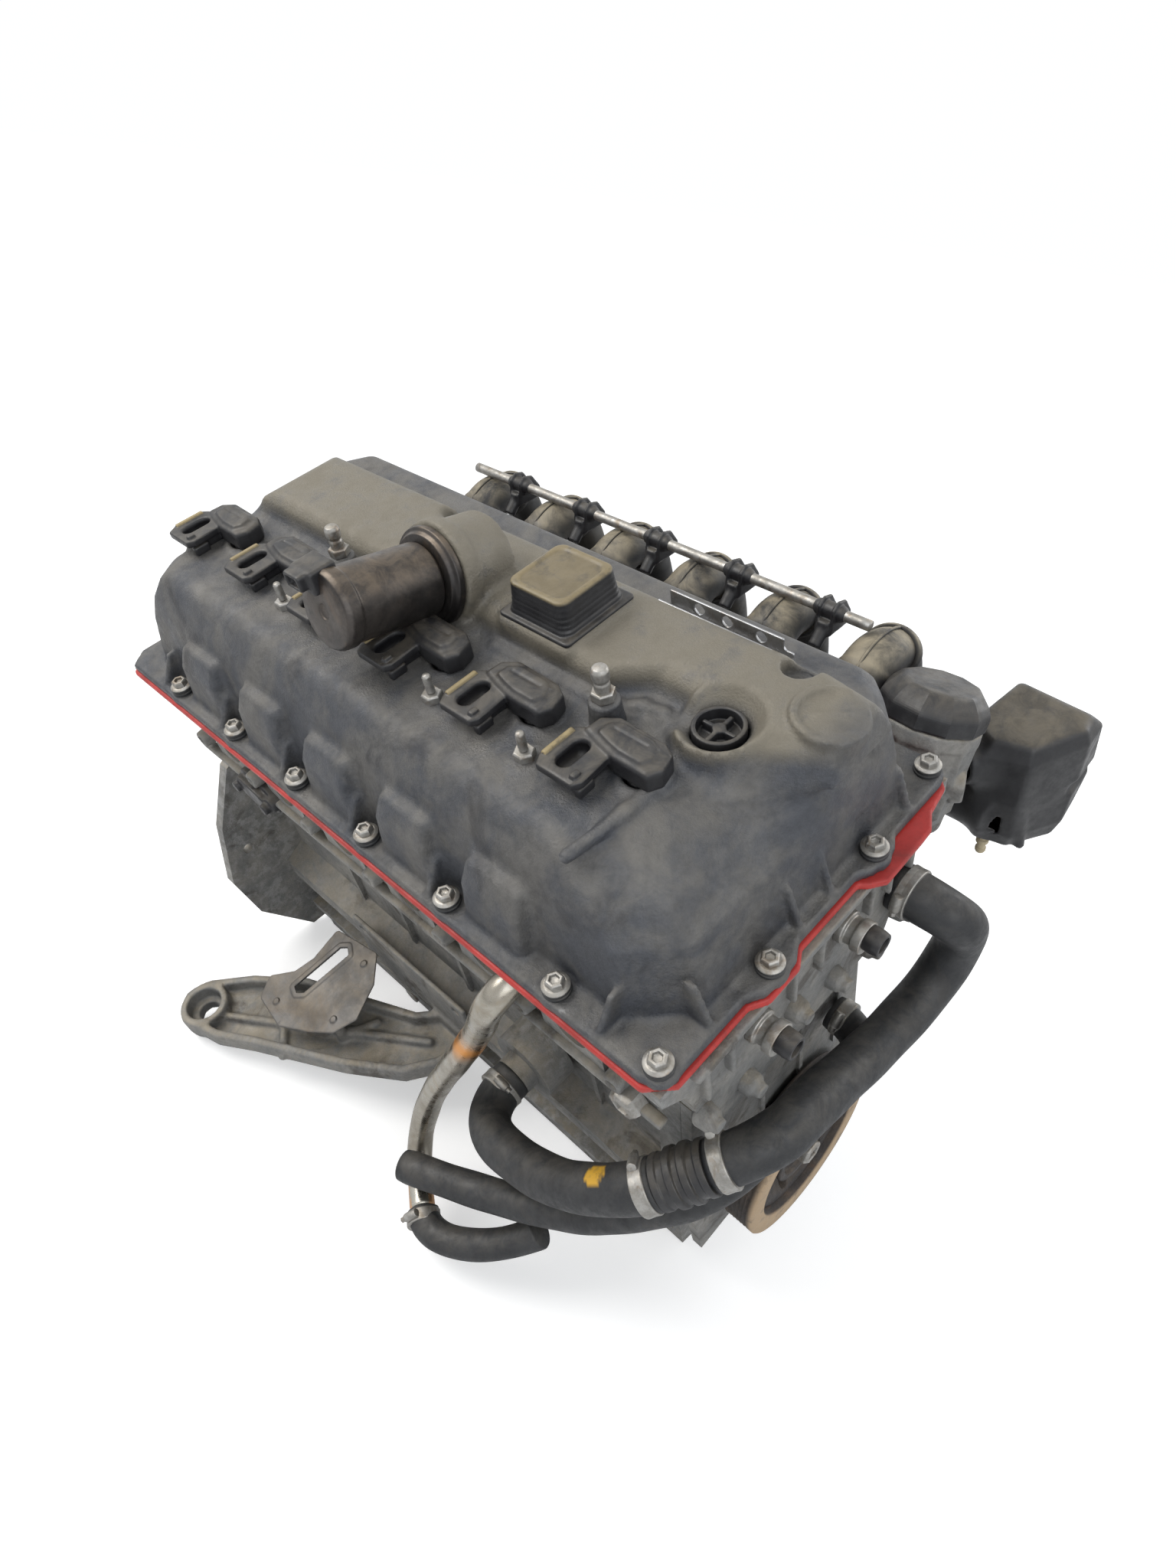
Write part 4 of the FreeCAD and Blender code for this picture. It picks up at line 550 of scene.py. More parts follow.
rusted_iron = finish("rusted_iron", (0.050, 0.043, 0.040), (0.085, 0.066, 0.052), 0.03, (0.6, 0.85), 0.2,
                     0.5, 0.0012, 0.35, stain=(0.13, 0.075, 0.045), stained=0.5, mark=(0.42, 0.31, 0.20),
                     marked=1.0)
dark_iron = finish("dark_iron", (0.035, 0.032, 0.032), (0.06, 0.05, 0.045), 0.03, (0.5, 0.75), 0.3, 0.3,
                   0.0012, 0.3, dust=(0.20, 0.15, 0.10), dusty=0.4)
pressed_sheet = finish("pressed_sheet", (0.15, 0.145, 0.14), (0.11, 0.105, 0.10), 0.05, (0.4, 0.65), 0.5,
                       0.15, 0.001, 0.25, dust=(0.22, 0.18, 0.13), dusty=0.5, stain=(0.12, 0.09, 0.06),
                       stained=0.5, bare=(0.5, 0.49, 0.47), worn=0.4)
motor_can = finish("motor_can", (0.040, 0.037, 0.036), (0.085, 0.075, 0.068), 0.03, (0.3, 0.5), 0.75, 0.12,
                   0.0009, 0.25, dust=(0.26, 0.20, 0.14), dusty=0.5, stain=(0.14, 0.10, 0.07), stained=0.4)
filter_paper = finish("filter_paper", (0.55, 0.47, 0.32), (0.45, 0.38, 0.25), 0.02, (0.8, 0.95), 0.0, 0.3,
                      0.001, 0.2)
print(len(bpy.data.materials), "finishes")

# %% [markdown]
# ## Dressing the CAD nodes
# Some nodes already have the right shape: they only swap their plain slot for a worn finish. The
# others are replaced by pieces that the cells below make.

# %% Finishes for the CAD nodes
DRESS = {
    block_cast: ("crankcase", "bedplate", "oil_sump", "bellhousing_flange", "timing_cover", "cylinder_head",
                 "throttle_body", "coolant_pump"),
    machined_steel: ("crankshaft", "exhaust_camshaft", "intake_camshaft", "lift_shaft", "timing_chain",
                     "valves", "spark_plugs", "throttle_flap", "head_gasket",
                     *(f"piston_{number}" for number in CYLINDERS)),
    zinc_plate: ("drain_plug",),
    filter_paper: ("filter_element",),
}
for material, names in DRESS.items():
    for node in names:
        for place in nodes[node].material_slots:
            place.material = material
print("dressed in place:", sorted(name for names in DRESS.values() for name in names))

# %% [markdown]
# ## Studio
# The camera stands where the photograph was taken from, worked out from the engine's known bore
# spacing. A sheet of pale floor, a broad lamp high on the left and two weaker ones do the rest.

# %% Camera, floor and lamps
CAMERA_AT = (-0.57358, -0.83387, 0.70021)
CAMERA_RIGHT = (0.69012, -0.71502, 0.11175)
CAMERA_UP = (0.32451, 0.44376, 0.83532)
CAMERA_BACK = (-0.64686, -0.54021, 0.53828)
FLOOR = -0.15

camera = bpy.data.objects.new("camera", bpy.data.cameras.new("camera"))
bpy.context.scene.collection.objects.link(camera)
turn = Matrix((CAMERA_RIGHT, CAMERA_UP, CAMERA_BACK)).transposed().to_4x4()
camera.matrix_world = Matrix.Translation(CAMERA_AT) @ turn
camera.data.lens = 21.996
camera.data.clip_start = 0.01
bpy.context.scene.camera = camera
bpy.context.scene.view_settings.view_transform = "Standard"


def lamp(name, at, aim, size, power, colour=(1.0, 1.0, 1.0)):
    """A square area lamp that faces a point."""
    light = bpy.data.lights.new(name, "AREA")
    light.size = size
    light.energy = power
    light.color = colour
    obj = bpy.data.objects.new(name, light)
    obj.location = at
    obj.rotation_euler = (Vector(aim) - Vector(at)).to_track_quat("-Z", "Y").to_euler()
    bpy.context.scene.collection.objects.link(obj)


lamp("key", (-1.2, 0.9, 2.2), (0.0, -0.3, 0.2), 1.6, 46.0, (1.0, 0.98, 0.95))
lamp("front", (-1.0, -2.0, 1.2), (0.0, -0.4, 0.1), 1.8, 16.0, (0.93, 0.96, 1.0))
lamp("right", (1.8, -1.2, 1.3), (0.0, -0.4, 0.1), 1.6, 14.0)

FLOOR_HALF = 30
FLOOR_GAP = 0.0005
corners = [(x * FLOOR_HALF, y * FLOOR_HALF, FLOOR - FLOOR_GAP) for x, y in ((-1, -1), (1, -1), (1, 1),
                                                                            (-1, 1))]
floor_mesh = bpy.data.meshes.new("floor")
floor_mesh.from_pydata(corners, [], [(0, 1, 2, 3)])
floor = bpy.data.objects.new("floor", floor_mesh)
sheet = bpy.data.materials.new("floor_sheet")
sheet.use_nodes = True
shader = sheet.node_tree.nodes["Principled BSDF"]
shader.inputs["Base Color"].default_value = (0.82, 0.82, 0.82, 1.0)
shader.inputs["Roughness"].default_value = 0.95
shader.inputs["Emission Color"].default_value = (1.0, 1.0, 1.0, 1.0)
new, join = sheet.node_tree.nodes.new, sheet.node_tree.links.new
lift = new("ShaderNodeMath")
lift.operation = "MULTIPLY"
away = new("ShaderNodeVectorMath")
away.operation = "LENGTH"
fade = new("ShaderNodeMapRange")
fade.interpolation_type = "SMOOTHSTEP"
for key, value in (("From Min", 0.9), ("From Max", 5.0), ("To Min", 0.42), ("To Max", 0.75)):
    fade.inputs[key].default_value = value
join(new("ShaderNodeTexCoord").outputs["Object"], away.inputs[0])
join(away.outputs["Value"], fade.inputs["Value"])
join(new("ShaderNodeLightPath").outputs["Is Camera Ray"], lift.inputs[0])
join(fade.outputs["Result"], lift.inputs[1])
join(lift.outputs[0], shader.inputs["Emission Strength"])
floor_mesh.materials.append(sheet)
bpy.context.scene.collection.objects.link(floor)
floor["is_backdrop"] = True

world = bpy.data.worlds.new("studio")
bpy.context.scene.world = world
world.use_nodes = True
new, join = world.node_tree.nodes.new, world.node_tree.links.new
sky = world.node_tree.nodes["Background"]
paths = new("ShaderNodeLightPath")
pale = new("ShaderNodeMath")
pale.operation = "MAXIMUM"
join(paths.outputs["Is Camera Ray"], pale.inputs[0])
join(paths.outputs["Is Glossy Ray"], pale.inputs[1])
level = new("ShaderNodeMapRange")
level.inputs["To Min"].default_value = 0.55
level.inputs["To Max"].default_value = 1.04
join(pale.outputs[0], level.inputs["Value"])
join(level.outputs[0], sky.inputs["Strength"])
sky.inputs["Color"].default_value = (0.96, 0.98, 1.0, 1.0)
print("camera lens", round(camera.data.lens, 2), "mm")

# %% [markdown]
# ## The cam cover
# The cover is one magnesium-like casting: steep walls over a bolted flange, a tray for the six
# coils, a raised ridge beside it and a big rounded dome at the front. Shelves bulge out between the
# bolts on the left flank. A distance field suits it, because everything on it meets in a fillet.

# %% Cam cover: outline at each level
WALL_ROUND = 12.0


def wall_level(z, left, right, front_left, front_middle, front_right, back):
    """One level of the cover's walls: a ten-sided plan, drawn inside its rounding radius."""
    i = WALL_ROUND
    l, r, b = -left + i, right - i, -(back + i)
    fl, fm, fr = -(front_left - i), -(front_middle - i), -(front_right - i)
    return z, [(l, b - 10), (l, fl + 26), (l + 26, fl), (-10, fm), (34, fr), (r - 22, fr), (r, fr + 20),
               (r, b - 10), (r - 14, b), (l + 14, b)]


WALLS = ((336, 128, 142, 641, 641, 641, 18), (360, 125, 140, 636, 637, 638, 21),
         (393, 119, 137, 625, 630, 636, 28), (412, 113, 134, 607, 614, 633, 34),
         (428, 104, 130, 580, 588, 628, 43), (437, 97, 126, 559, 567, 620, 52))
BOLTS = [(-138.0, FLANGE_TO_LAST + BORE_SPACING * k) for k in range(5)] + [(-138.0, 559.0)]
BOLTS += [(152.0, FLANGE_TO_LAST + BORE_SPACING * k) for k in (0, 1.5, 3, 4.7)]
BOLTS += [(-136.0, 640.0), (-44.0, 649.0), (68.0, 649.0), (151.0, 638.0)]
MOTOR_AT = np.array((13.0, -316.0, 467.0))
MOTOR_OUT = np.array((-math.cos(math.radians(15)), 0.0, math.sin(math.radians(15))))
CAP_AT = (43, -412)
POSTS = ((-10, 497), (-10, 214))
STUDS = ((-64, 477), (-64, 386), (-64, 204))
DISH_AT = (20, -563)
PLUG_AXIS = np.array((-29.0, 0.0, 212.5)) / math.hypot(29.0, 212.5)


def flange_outline(inset):
    """The flange in plan, with cut corners and two bays at the front."""
    l, r, f = -149 + inset, 164 - inset, 651 - inset
    plan = [(l, 14), (l, f - 14), (l + 14, f), (-70, f), (-58, f + 7), (-30, f + 7), (-18, f), (46, f),
            (56, f + 6), (80, f + 6), (90, f), (r - 14, f), (r, f - 14), (r, 14), (r - 14, inset),
            (l + 14, inset)]
    return [(x, -a) for x, a in plan]


print(len(BOLTS), "cover bolts")

# %% Cam cover: the casting
cover = Casting((-156, -664, 330), (172, 6, 512), 2.5)
cover.add(loft([wall_level(*level) for level in WALLS], WALL_ROUND, 9.0))
for k in range(5):
    a = FLANGE_TO_LAST + BORE_SPACING * k + 14
    shelf = [(342, [(-134, -(a + 8)), (-134, -(a + 56)), (-112, -(a + 60)), (-112, -(a + 4))]),
             (380, [(-130, -(a + 10)), (-130, -(a + 54)), (-108, -(a + 58)), (-108, -(a + 6))]),
             (398, [(-122, -(a + 12)), (-122, -(a + 52)), (-100, -(a + 56)), (-100, -(a + 8))])]
    cover.add(loft(shelf, 5.0, 5.0), 6.0)
ridge = [(428, [(4, -54), (4, -468), (26, -500), (26, -528), (-8, -556), (0, -574), (32, -636), (92, -636),
                (100, -600), (96, -54)]), (449, [(12, -66), (12, -474), (36, -504), (36, -534), (0, -560),
                                                 (10, -574), (40, -628), (84, -628), (90, -590),
                                                 (86, -66)]), (457,
                                                               [(18, -80), (18, -478), (44, -508),
                                                                (44, -538), (8, -564), (18, -574),
                                                                (46, -616), (78, -616), (84, -584),
                                                                (80, -80)])]
cover.add(loft(ridge, 4.0, 7.0), 9.0)
BEAD = [(-104, 552), (-60, 557), (-26, 559), (-8, 554), (6, 540), (16, 522), (14, 506), (4, 492), (0, 476),
        (-1, 380)]
for (x0, a0), (x1, a1) in zip(BEAD, BEAD[1:]):
    cover.add(bar((x0, -a0, 436.5), (x1, -a1, 436.5), 4.5), 5.0)
cover.add(slab(flange_outline(2.0), 336.2, 345, 2.0, 2.0), 5.0)
for x, a in BOLTS:
    cover.add(column(x, -a, 336.2, 345.2, 11.5, soft=1.5), 2.0)
    cover.cut(column(x, -a, 345.6, 372, 11.5, 15.0, 3.0), 3.0)
for number in CYLINDERS:
    a = bore_ahead(number)
    cover.add(column(-30, -a, 405, 438.4, 18, soft=2.0), 4.0)
    cover.add(block((-52, -a + 31, 433), (15, 13, 5), 4), 4.0)
print("walls, shelves, ridge and flange are in")

# %% [markdown]
# The lift motor's round collar grows out of the ridge, the plug sits in a dish, and thin ribs brace
# the flange. The inside is then hollowed and the coil wells are bored.

# %% Cam cover: collar, dish, pad and ribs
def side_fin(ahead, foot, tip, root, top):
    """A thin rib up a side wall: its outer edge goes from foot to tip, its root is inside the wall."""
    return loft([(z, [(edge, -ahead - half), (edge, -ahead + half), (root, -ahead + half),
                      (root, -ahead - half)]) for z, edge, half in ((344, foot, 1.4), (top, tip, 1.0))],
                1.2, 1.0)


cover.add(rod(MOTOR_AT - MOTOR_OUT * 40, MOTOR_AT + MOTOR_OUT * 6, 36, soft=3.0), 9.0)
cover.add(rod(MOTOR_AT - MOTOR_OUT * 6, MOTOR_AT + MOTOR_OUT * 7.4, 39, soft=2.0), 3.0)
cover.add(block((10, -316, 432), (30, 42, 10), 6), 8.0)
cover.cut(rod(MOTOR_AT - MOTOR_OUT * 30, MOTOR_AT + MOTOR_OUT * 20, 19))
cover.add(block((43, -412, 452), (37, 37, 8), 7), 5.0)
cover.cut(column(*CAP_AT, 417, 480, 17.3))
cover.add(column(*DISH_AT, 432, 458, 30, 27, 2.0), 7.0)
cover.cut(column(*DISH_AT, 444, 461, 19, 33, 1.0), 3.0)
cover.cut(rod((16, -545, 452), (2, -515, 452), 12, 9, 4.0), 6.0)
cover.cut(column(*DISH_AT, 430.5, 470, 18.1))
cover.add(rod((57, -613, 440), (58, -616, 458.6), 25, 24.5, 1.2), 2.0)
cover.cut(column(58, -616, 457.4, 470, 19, 21, 0.8), 1.0)
cover.add(bar((52, -608, 457.6), (64, -624, 457.6), 1.6), 2.0)
for x, a in ((84, 575), (84, 244)):
    cover.cut(rod((x, -a, 440), (x + 3, -a, 470), 11, 14, 2.0), 3.0)
for x, a in POSTS + STUDS:
    cover.add(column(x, -a, 428, 437.2, 12, soft=2.0), 4.0)
for x in (-98, -10, 24, 112):
    fin = [(344, [(x - 1.4, -648), (x - 1.4, -630), (x + 1.4, -630), (x + 1.4, -648)]),
           (378, [(x - 1.0, -637), (x - 1.0, -630), (x + 1.0, -630), (x + 1.0, -637)])]
    cover.add(loft(fin, 1.2, 1.0), 3.0)
for a in (70, 166, 257, 348, 439, 600):
    cover.add(side_fin(a, -146, -129, -120, 372), 3.0)
for a in (36, 118, 190, 300, 395, 470, 560):
    cover.add(side_fin(a, 158, 144, 132, 376), 3.0)

# %% Cam cover: hollow, wells and skin
ROOM = ((330, 126, 140, 634, 634, 634, 25), (350, 122, 136, 630, 630, 631, 28),
        (386, 114, 131, 617, 620, 627, 36), (408, 107, 128, 596, 602, 622, 42),
        (420, 99, 125, 572, 580, 612, 50), (430, 90, 121, 548, 556, 604, 60))
cover.cut(loft([wall_level(*level) for level in ROOM], WALL_ROUND, 7.0))
for number in CYLINDERS:
    a = bore_ahead(number)
    foot = np.array((0.0, -a, HEAD_BASE))
    cover.add(rod(foot + PLUG_AXIS * 195, foot + PLUG_AXIS * 224, 16.5, soft=2.0), 3.0)
    cover.cut(rod(foot + PLUG_AXIS * 180, foot + PLUG_AXIS * 260, 12.5))
# The marks paint the cover's top above 441 mm a lighter tan, less towards the front: part dust, part
# painted highlight on the lit ridge.
cast("cam_cover", cover, cover_cast, 190000, replaces=("valve_cover",),
     marks=lambda x, y, z: np.clip((z - 441) / 9, 0, 1) * np.clip((640 + y) / 30, 0.25, 1))

# %% [markdown]
# ## Ignition coils
# Each coil is a black plastic head over its well, with a flat latch plate that has one long hole,
# and a socket under it. All six are the same mesh, moved along by one bore spacing.

# %% Ignition coils
def coil_casting():
    """A coil about its own well: rounded head, latch plate with a long hole, and the socket under it."""
    coil = Casting((-50, -28, 434), (26, 58, 464), 1.1)
    head = [(-12, -14), (-4, -18), (8, -15), (13, -6), (14, 32), (7, 42), (-4, 43), (-8, 30), (-12, 12)]
    coil.add(slab([(x * 0.9, y * 0.92) for x, y in head], 438.5, 455.0, 3.0, 4.0))
    coil.add(slab([(x * 0.55, 8 + (y - 8) * 0.6) for x, y in head], 450, 457.5, 2.5, 2.0), 3.0)
    plate = [(-42, 18), (-42, 46), (-35, 50), (-8, 50), (-4, 44), (-4, 17), (-37, 15)]
    coil.add(slab(plate, 446.5, 452.5, 1.6, 1.2), 1.5)
    coil.add(block((-20, 33, 443), (16, 14, 5.5), 2.5), 2.0)
    coil.add(block((-33, 18, 441), (7, 3, 4), 1.5), 1.5)
    coil.cut(bar((-30, 35, 446), (-17, 35, 446), 6.6))
    coil.cut(bar((-30, 35, 453), (-17, 35, 453), 6.6))
    coil.add(block((-22, 48.5, 453.4), (13, 1.8, 1.0), 0.8), 0.8)
    coil.add(block((-36.5, 20, 453), (3.5, 2.4, 2.2), 1.0), 0.8)
    coil.cut(block((3, 12, 457.8), (1.2, 14, 1.0), 0.5))
    return coil.skin()


coil_points, coil_faces = coil_casting()
stripe = (coil_points[:, 1] > 46.4) & (coil_points[:, 2] > 452.6) & (np.abs(coil_points[:, 0] + 22) < 13)
coil_points = coil_points + (-29.0, 0.0, 0.0)
stalk_points, stalk_faces = lathed([(0, 0), (10.5, 0), (10.5, 165), (0, 165)], 2, (0, 0, 0), PLUG_AXIS, 24)
for number in CYLINDERS:
    a = bore_ahead(number)
    stalk = stalk_points + np.array((0, 0, HEAD_BASE)) + PLUG_AXIS * 62
    points, faces = merged([(coil_points, coil_faces), (stalk, stalk_faces)])
    piece(f"ignition_coil_{number}", points + (0, -a, 0), faces, material=black_plastic,
          replaces=(f"coil_{number}",), marks=np.concatenate([stripe * (0.9 - 0.1 * (number % 3)),
                                                              np.zeros(len(stalk))]))
print("coil triangles", 2 * len(coil_faces))

# %% [markdown]
# ## Lift motor
# A dark metal can with a slightly larger end cap lies across the cover. It is a profile turned about
# its own axis, bolted through a round flange, with its plug on top of the far end.

# %% Lift motor and its flange
barrel = rounded([(0, 17.6), (24, 17.6), (27, 20), (27, 86), (28.6, 88), (28.6, 96), (26.5, 99.6),
                  (20, 100.4), (6, 100.2), (5, 98.8), (0, 98.8)], 1.2)
piece("lift_motor_can", *turned(barrel, MOTOR_AT, MOTOR_OUT, 96), material=motor_can,
      replaces=("servo_motor",))
ring = rounded([(0, 8.3), (36, 8.3), (36, 13.4), (33, 14.6), (31.5, 17.4), (0, 17.4)], 1.0)
piece("lift_motor_flange", *turned(ring, MOTOR_AT, MOTOR_OUT, 96), material=motor_can,
      replaces=("servo_flange",))
fitting = Casting((-100, -345, 480), (-50, -290, 530), 1.2)
fitting.add(block((-73, -302, 512), (11, 12, 9), 2.5))
fitting.add(block((-85, -302, 515), (6, 9, 6), 2.0), 2.0)
fitting.cut(block((-92, -302, 515), (5, 6.5, 4), 1.0))
cast("lift_motor_plug", fitting, black_plastic)

# %% [markdown]
# ## Oil filler cap
# A square black cap with rounded corners: a wide base, five shallow tiers and a dished top.

# %% Oil filler cap
cap = Casting((0, -455, 440), (86, -369, 492), 1.1)
CAP_CORNER = 8.0


def cap_square(half, bottom, top, corner, soft):
    """A square tier of the cap. Its half width is measured to where the rounded corners begin."""
    x, y = CAP_AT
    plan = [(x - half, y - half), (x + half, y - half), (x + half, y + half), (x - half, y + half)]
    return slab(plan, bottom, top, corner, soft)


cap.add(cap_square(30, 457.6, 461.5, 4.0, 1.2))
for level, half in ((463, 29.5), (467, 28.5), (471, 28.0), (475, 27.6), (479, 27.2)):
    cap.add(cap_square(half - CAP_CORNER, level - 2.2, level + 1.6, CAP_CORNER, 1.0), 0.6)
cap.add(cap_square(19, 458, 486, CAP_CORNER, 2.5), 1.0)
cap.cut(cap_square(14, 484.9, 492, CAP_CORNER, 0.8), 0.8)
cap.add(column(*CAP_AT, 443.4, 460, 16.6))
cast("filler_lid", cap, black_plastic, body="oil_cap", replaces=("filler_cap",),
     marks=lambda x, y, z: 0.5 * np.clip((z - 483.5) / 2, 0, 1))

# %% [markdown]
# ## Seal, ribs and sensor cover
# The red seal shows as a thin lip under the flange. Below it the head's walls carry upright ribs, two
# ledges and round bosses, and a black cover with two screws closes the rear of the left wall.

# %% Red seal between cover and head
def seal_outline(inset):
    """The flange's plan with the seal's wide tongue at the front right."""
    plan = flange_outline(inset)
    tongue = [(50, -(657 - inset)), (60, -(664 - inset)), (112, -(663 - inset)), (126, -(655 - inset))]
    return plan[:8] + tongue + plan[11:]


lip = Casting((-158, -672, 326), (174, 8, 344), 1.6)
lip.add(slab(seal_outline(0.5), 331.6, 337.4, 3.0, 1.5))
lip.cut(slab(seal_outline(14.0), 326, 344, 0.0, 1.0))
cast("seal_lip", lip, red_seal, 50000, replaces=("cover_gasket",))

# %% Ribs and bosses on the head's outer walls
walls = Casting((-146, -668, 206), (140, -14, 334), 2.2)
for a in range(48, 640, 30):
    deep = 5.0 if a % 60 == 48 else 3.0
    walls.add(block((-131, -a, 306), (deep, 2.4, 22), 2.0), 3.0)
walls.add(block((-131, -330, 327), (7.5, 300, 3.5), 2.0), 4.0)
walls.add(block((-131, -330, 240), (5.0, 300, 3.0), 2.0), 4.0)
for a in [FLANGE_TO_LAST + BORE_SPACING * (k - 0.5) for k in range(7)]:
    walls.add(rod((-126, -a, 256), (-139, -a, 256), 9.5, 8.0), 4.0)
    walls.cut(rod((-134, -a, 256), (-146, -a, 256), 4.2))
for x in (-112, -88, -24, 6, 64, 88, 116):
    walls.add(block((x, -650, 306), (2.2, 6.0, 24), 2.0), 3.0)
walls.add(block((0, -650, 326), (124, 8.0, 3.5), 2.0), 4.0)
for x, z in ((-114, 258), (-70, 236), (-18, 262), (30, 240), (72, 232), (114, 232)):
    walls.add(rod((x, -646, z), (x, -659, z), 10.0, 8.5), 4.0)
    walls.add(rod((x, -658, z), (x, -664, z), 5.8), 0.6)
cast("head_wall_ribs", walls, block_cast, 90000)

# %% Sensor cover at the rear of the left wall
def oval_plate(x, deep, radius):
    """An oval plate on the left wall about the plane x, which climbs a little towards the rear."""
    def shape(u, y, z):
        beyond = np.maximum(np.abs(y + 133) - 14, 0)
        aside = np.sqrt(beyond ** 2 + (z - 238 - (y + 133) * 0.15) ** 2) - radius
        return soft_max(aside, np.abs(u - x) - deep, 1.5)
    return shape, (x - 6, -166, 218), (x + 6, -100, 258)


oval = Casting((-158, -170, 214), (-124, -96, 262), 1.2)
for x, deep, radius in ((-131, 4.0, 15.0), (-138, 4.5, 11.5)):
    oval.add(oval_plate(x, deep, radius), 1.5)
for y in (-157, -109):
    oval.add(rod((-128, y, 238), (-140, y, 238), 9.0, 8.0), 2.0)
    oval.add(rod((-139, y, 238), (-147, y, 238), 5.6), 0.5)
cast("rear_sensor_cover", oval, black_plastic, 40000)

# %% [markdown]
# ## Cover screws, plug, posts and studs
# Fourteen flanged screws hold the cover through rubber bushes. Each is a few turned profiles; the
# hexagons are profiles turned in six flat steps.

# %% Screws and bushes
UP = (0.0, 0.0, 1.0)
hexagons, washers, bushes = [], [], []
for x, a in BOLTS:
    foot = (x, -a, FLANGE_TOP)
    bushes.append(lathed([(0, 0.3), (9.6, 0.3), (9.6, 2.2), (8.3, 2.8), (9.3, 3.5), (9.3, 5.0), (0, 5.2)],
                         0.5, foot, UP, 28))
    washers.append(lathed([(0, 5.3), (9.4, 5.3), (9.4, 6.2), (7.3, 7.4), (0, 7.4)], 0.4, foot, UP, 28))
    hexagons.append(lathed([(0, 6.8), (6.5, 6.8), (6.5, 11.2), (5.4, 12.2), (3.6, 12.2), (3.1, 9.8),
                            (0, 9.6)], 0.5, foot, UP, 6))
piece("cover_screw_bushes", *merged(bushes), material=hose_rubber, replaces=("bolt_bushings",))
piece("cover_screw_washers", *merged(washers), material=zinc_plate, replaces=("cover_bolts",))
piece("cover_screw_heads", *merged(hexagons), material=zinc_plate, smooth=False)

# %% Plug, posts and studs
plug = Casting((0, -583, 430), (40, -543, 462), 0.8)
plug.add(column(*DISH_AT, 431.3, 449, 17.3, soft=1.0))
plug.cut(column(*DISH_AT, 440, 452, 14.2, soft=0.8))
plug.add(block((20, -563, 442.5), (12.8, 1.6, 3.6), 0.8), 0.8)
plug.add(block((20, -563, 442.5), (1.6, 12.8, 3.6), 0.8), 0.8)
plug.add(column(*DISH_AT, 439, 446.8, 4.5, soft=0.8), 0.8)
cast("front_cover_plug", plug, black_plastic, replaces=("cover_plug",))
feet, posts, nuts, pins = [], [], [], []
for x, a in POSTS:
    foot = (x, -a, 437.3)
    feet.append(lathed([(0, 0), (12.5, 0), (11.2, 8), (10.6, 19), (8, 20.5), (0, 20.5)], 2, foot, UP, 36))
    posts.append(lathed([(0, 20.8), (5.4, 20.8), (5.4, 33), (4.6, 35), (6.0, 37), (6.0, 43), (4.6, 45.5),
                         (0, 46)], 0.8, foot, UP, 28))
    nuts.append(lathed([(0, 20.6), (8.4, 20.6), (8.4, 26.6), (7.4, 27.6), (0, 27.6)], 0.6, foot, UP, 6))
for x, a in STUDS:
    foot = (x, -a, 437.3)
    nuts.append(lathed([(0, 0), (7.6, 0), (7.6, 5.6), (6.6, 6.8), (0, 6.8)], 0.6, foot, UP, 6))
    rings = [(0, 6)] + [(3.2 if k % 2 else 2.7, 7 + k) for k in range(14)] + [(2.2, 22), (0, 22)]
    pins.append(turned(rings, foot, UP, 20))
piece("post_feet", *merged(feet), material=cover_cast, replaces=("cover_posts",))
piece("post_necks", *merged(posts + pins), material=zinc_plate, replaces=("cover_studs",))
piece("post_nuts", *merged(nuts), material=zinc_plate, smooth=False)

# %% [markdown]
# ## Hoses, pipe and clamps
# The hoses follow the same routes as in CAD, as smooth lines near the corner points. Their radius
# swells a little at the joints, and worm clamps sit where each is pushed on.

# %% Hose routes
COUPLER = np.array((-118.0, -656.0, 190.0))
ALONG = np.array((-26.0, 22.0, -14.0)) / math.sqrt(26 ** 2 + 22 ** 2 + 14 ** 2)
UPPER = [(110, -649.3, 264), (110, -697, 264), (144, -694, 206), (118, -688, 152), (40, -684, 156),
         (-34, -682, 190), COUPLER - ALONG * 44, COUPLER - ALONG * 0.3]
LOWER = [(66, -633.3, 122), (66, -672, 120), (0, -670, 132), (-70, -668, 156), (-124, -658, 148),
         (-160, -606, 92), (-186, -560, 52), (-226, -462, 18), (-250, -400, 14)]
ELBOW = [COUPLER + ALONG * 40.3, COUPLER + ALONG * 68, (-190, -540, 100), (-188, -440, 64),
         (-137.3, -440, 64)]
PIPE = [(-127.6, -499.5, 290), (-158, -499.5, 290), (-160, -474, 226), (-172, -436, 150), (-198, -392, 60),
        (-232, -380, -24), (-262, -426, -24)]
PIPE_END = np.array(PIPE[-1], float)
PIPE_HEADING = PIPE_END - np.array(PIPE[-2])
PIPE_HEADING = PIPE_HEADING / np.linalg.norm(PIPE_HEADING)
SLEEVE = [PIPE_END + PIPE_HEADING * 0.3, PIPE_END + PIPE_HEADING * 25, (-238, -510, -12), (-206, -532, 6)]


def hose(name, points, radius, node, ends=(1, 1), material=None, marks=None):
    """A hose whose radius ripples along its length s by 0.2 sin(s / 9) + 0.15 sin(s / 23 + 1), and swells
    where an end is joined."""
    line = spline(points, 130)
    far = np.r_[0, np.cumsum(np.linalg.norm(np.diff(line, axis=0), axis=1))]
    ripple = 0.2 * np.sin(far / 9.0) + 0.15 * np.sin(far / 23.0 + 1.0)
    swell = 0.7 * ends[0] * np.exp(-(far / 9) ** 2) + 0.7 * ends[1] * np.exp(-((far[-1] - far) / 9) ** 2)
    lip = np.where((far < 0.1) | (far > far[-1] - 0.1), -0.8, 0.0)
    tube, faces = swept(line, radius - 0.4 + ripple + swell + lip, 36)
    piece(name, tube, faces, material=material or hose_rubber, replaces=(node,),
          marks=marks(*tube.T) if marks else None)


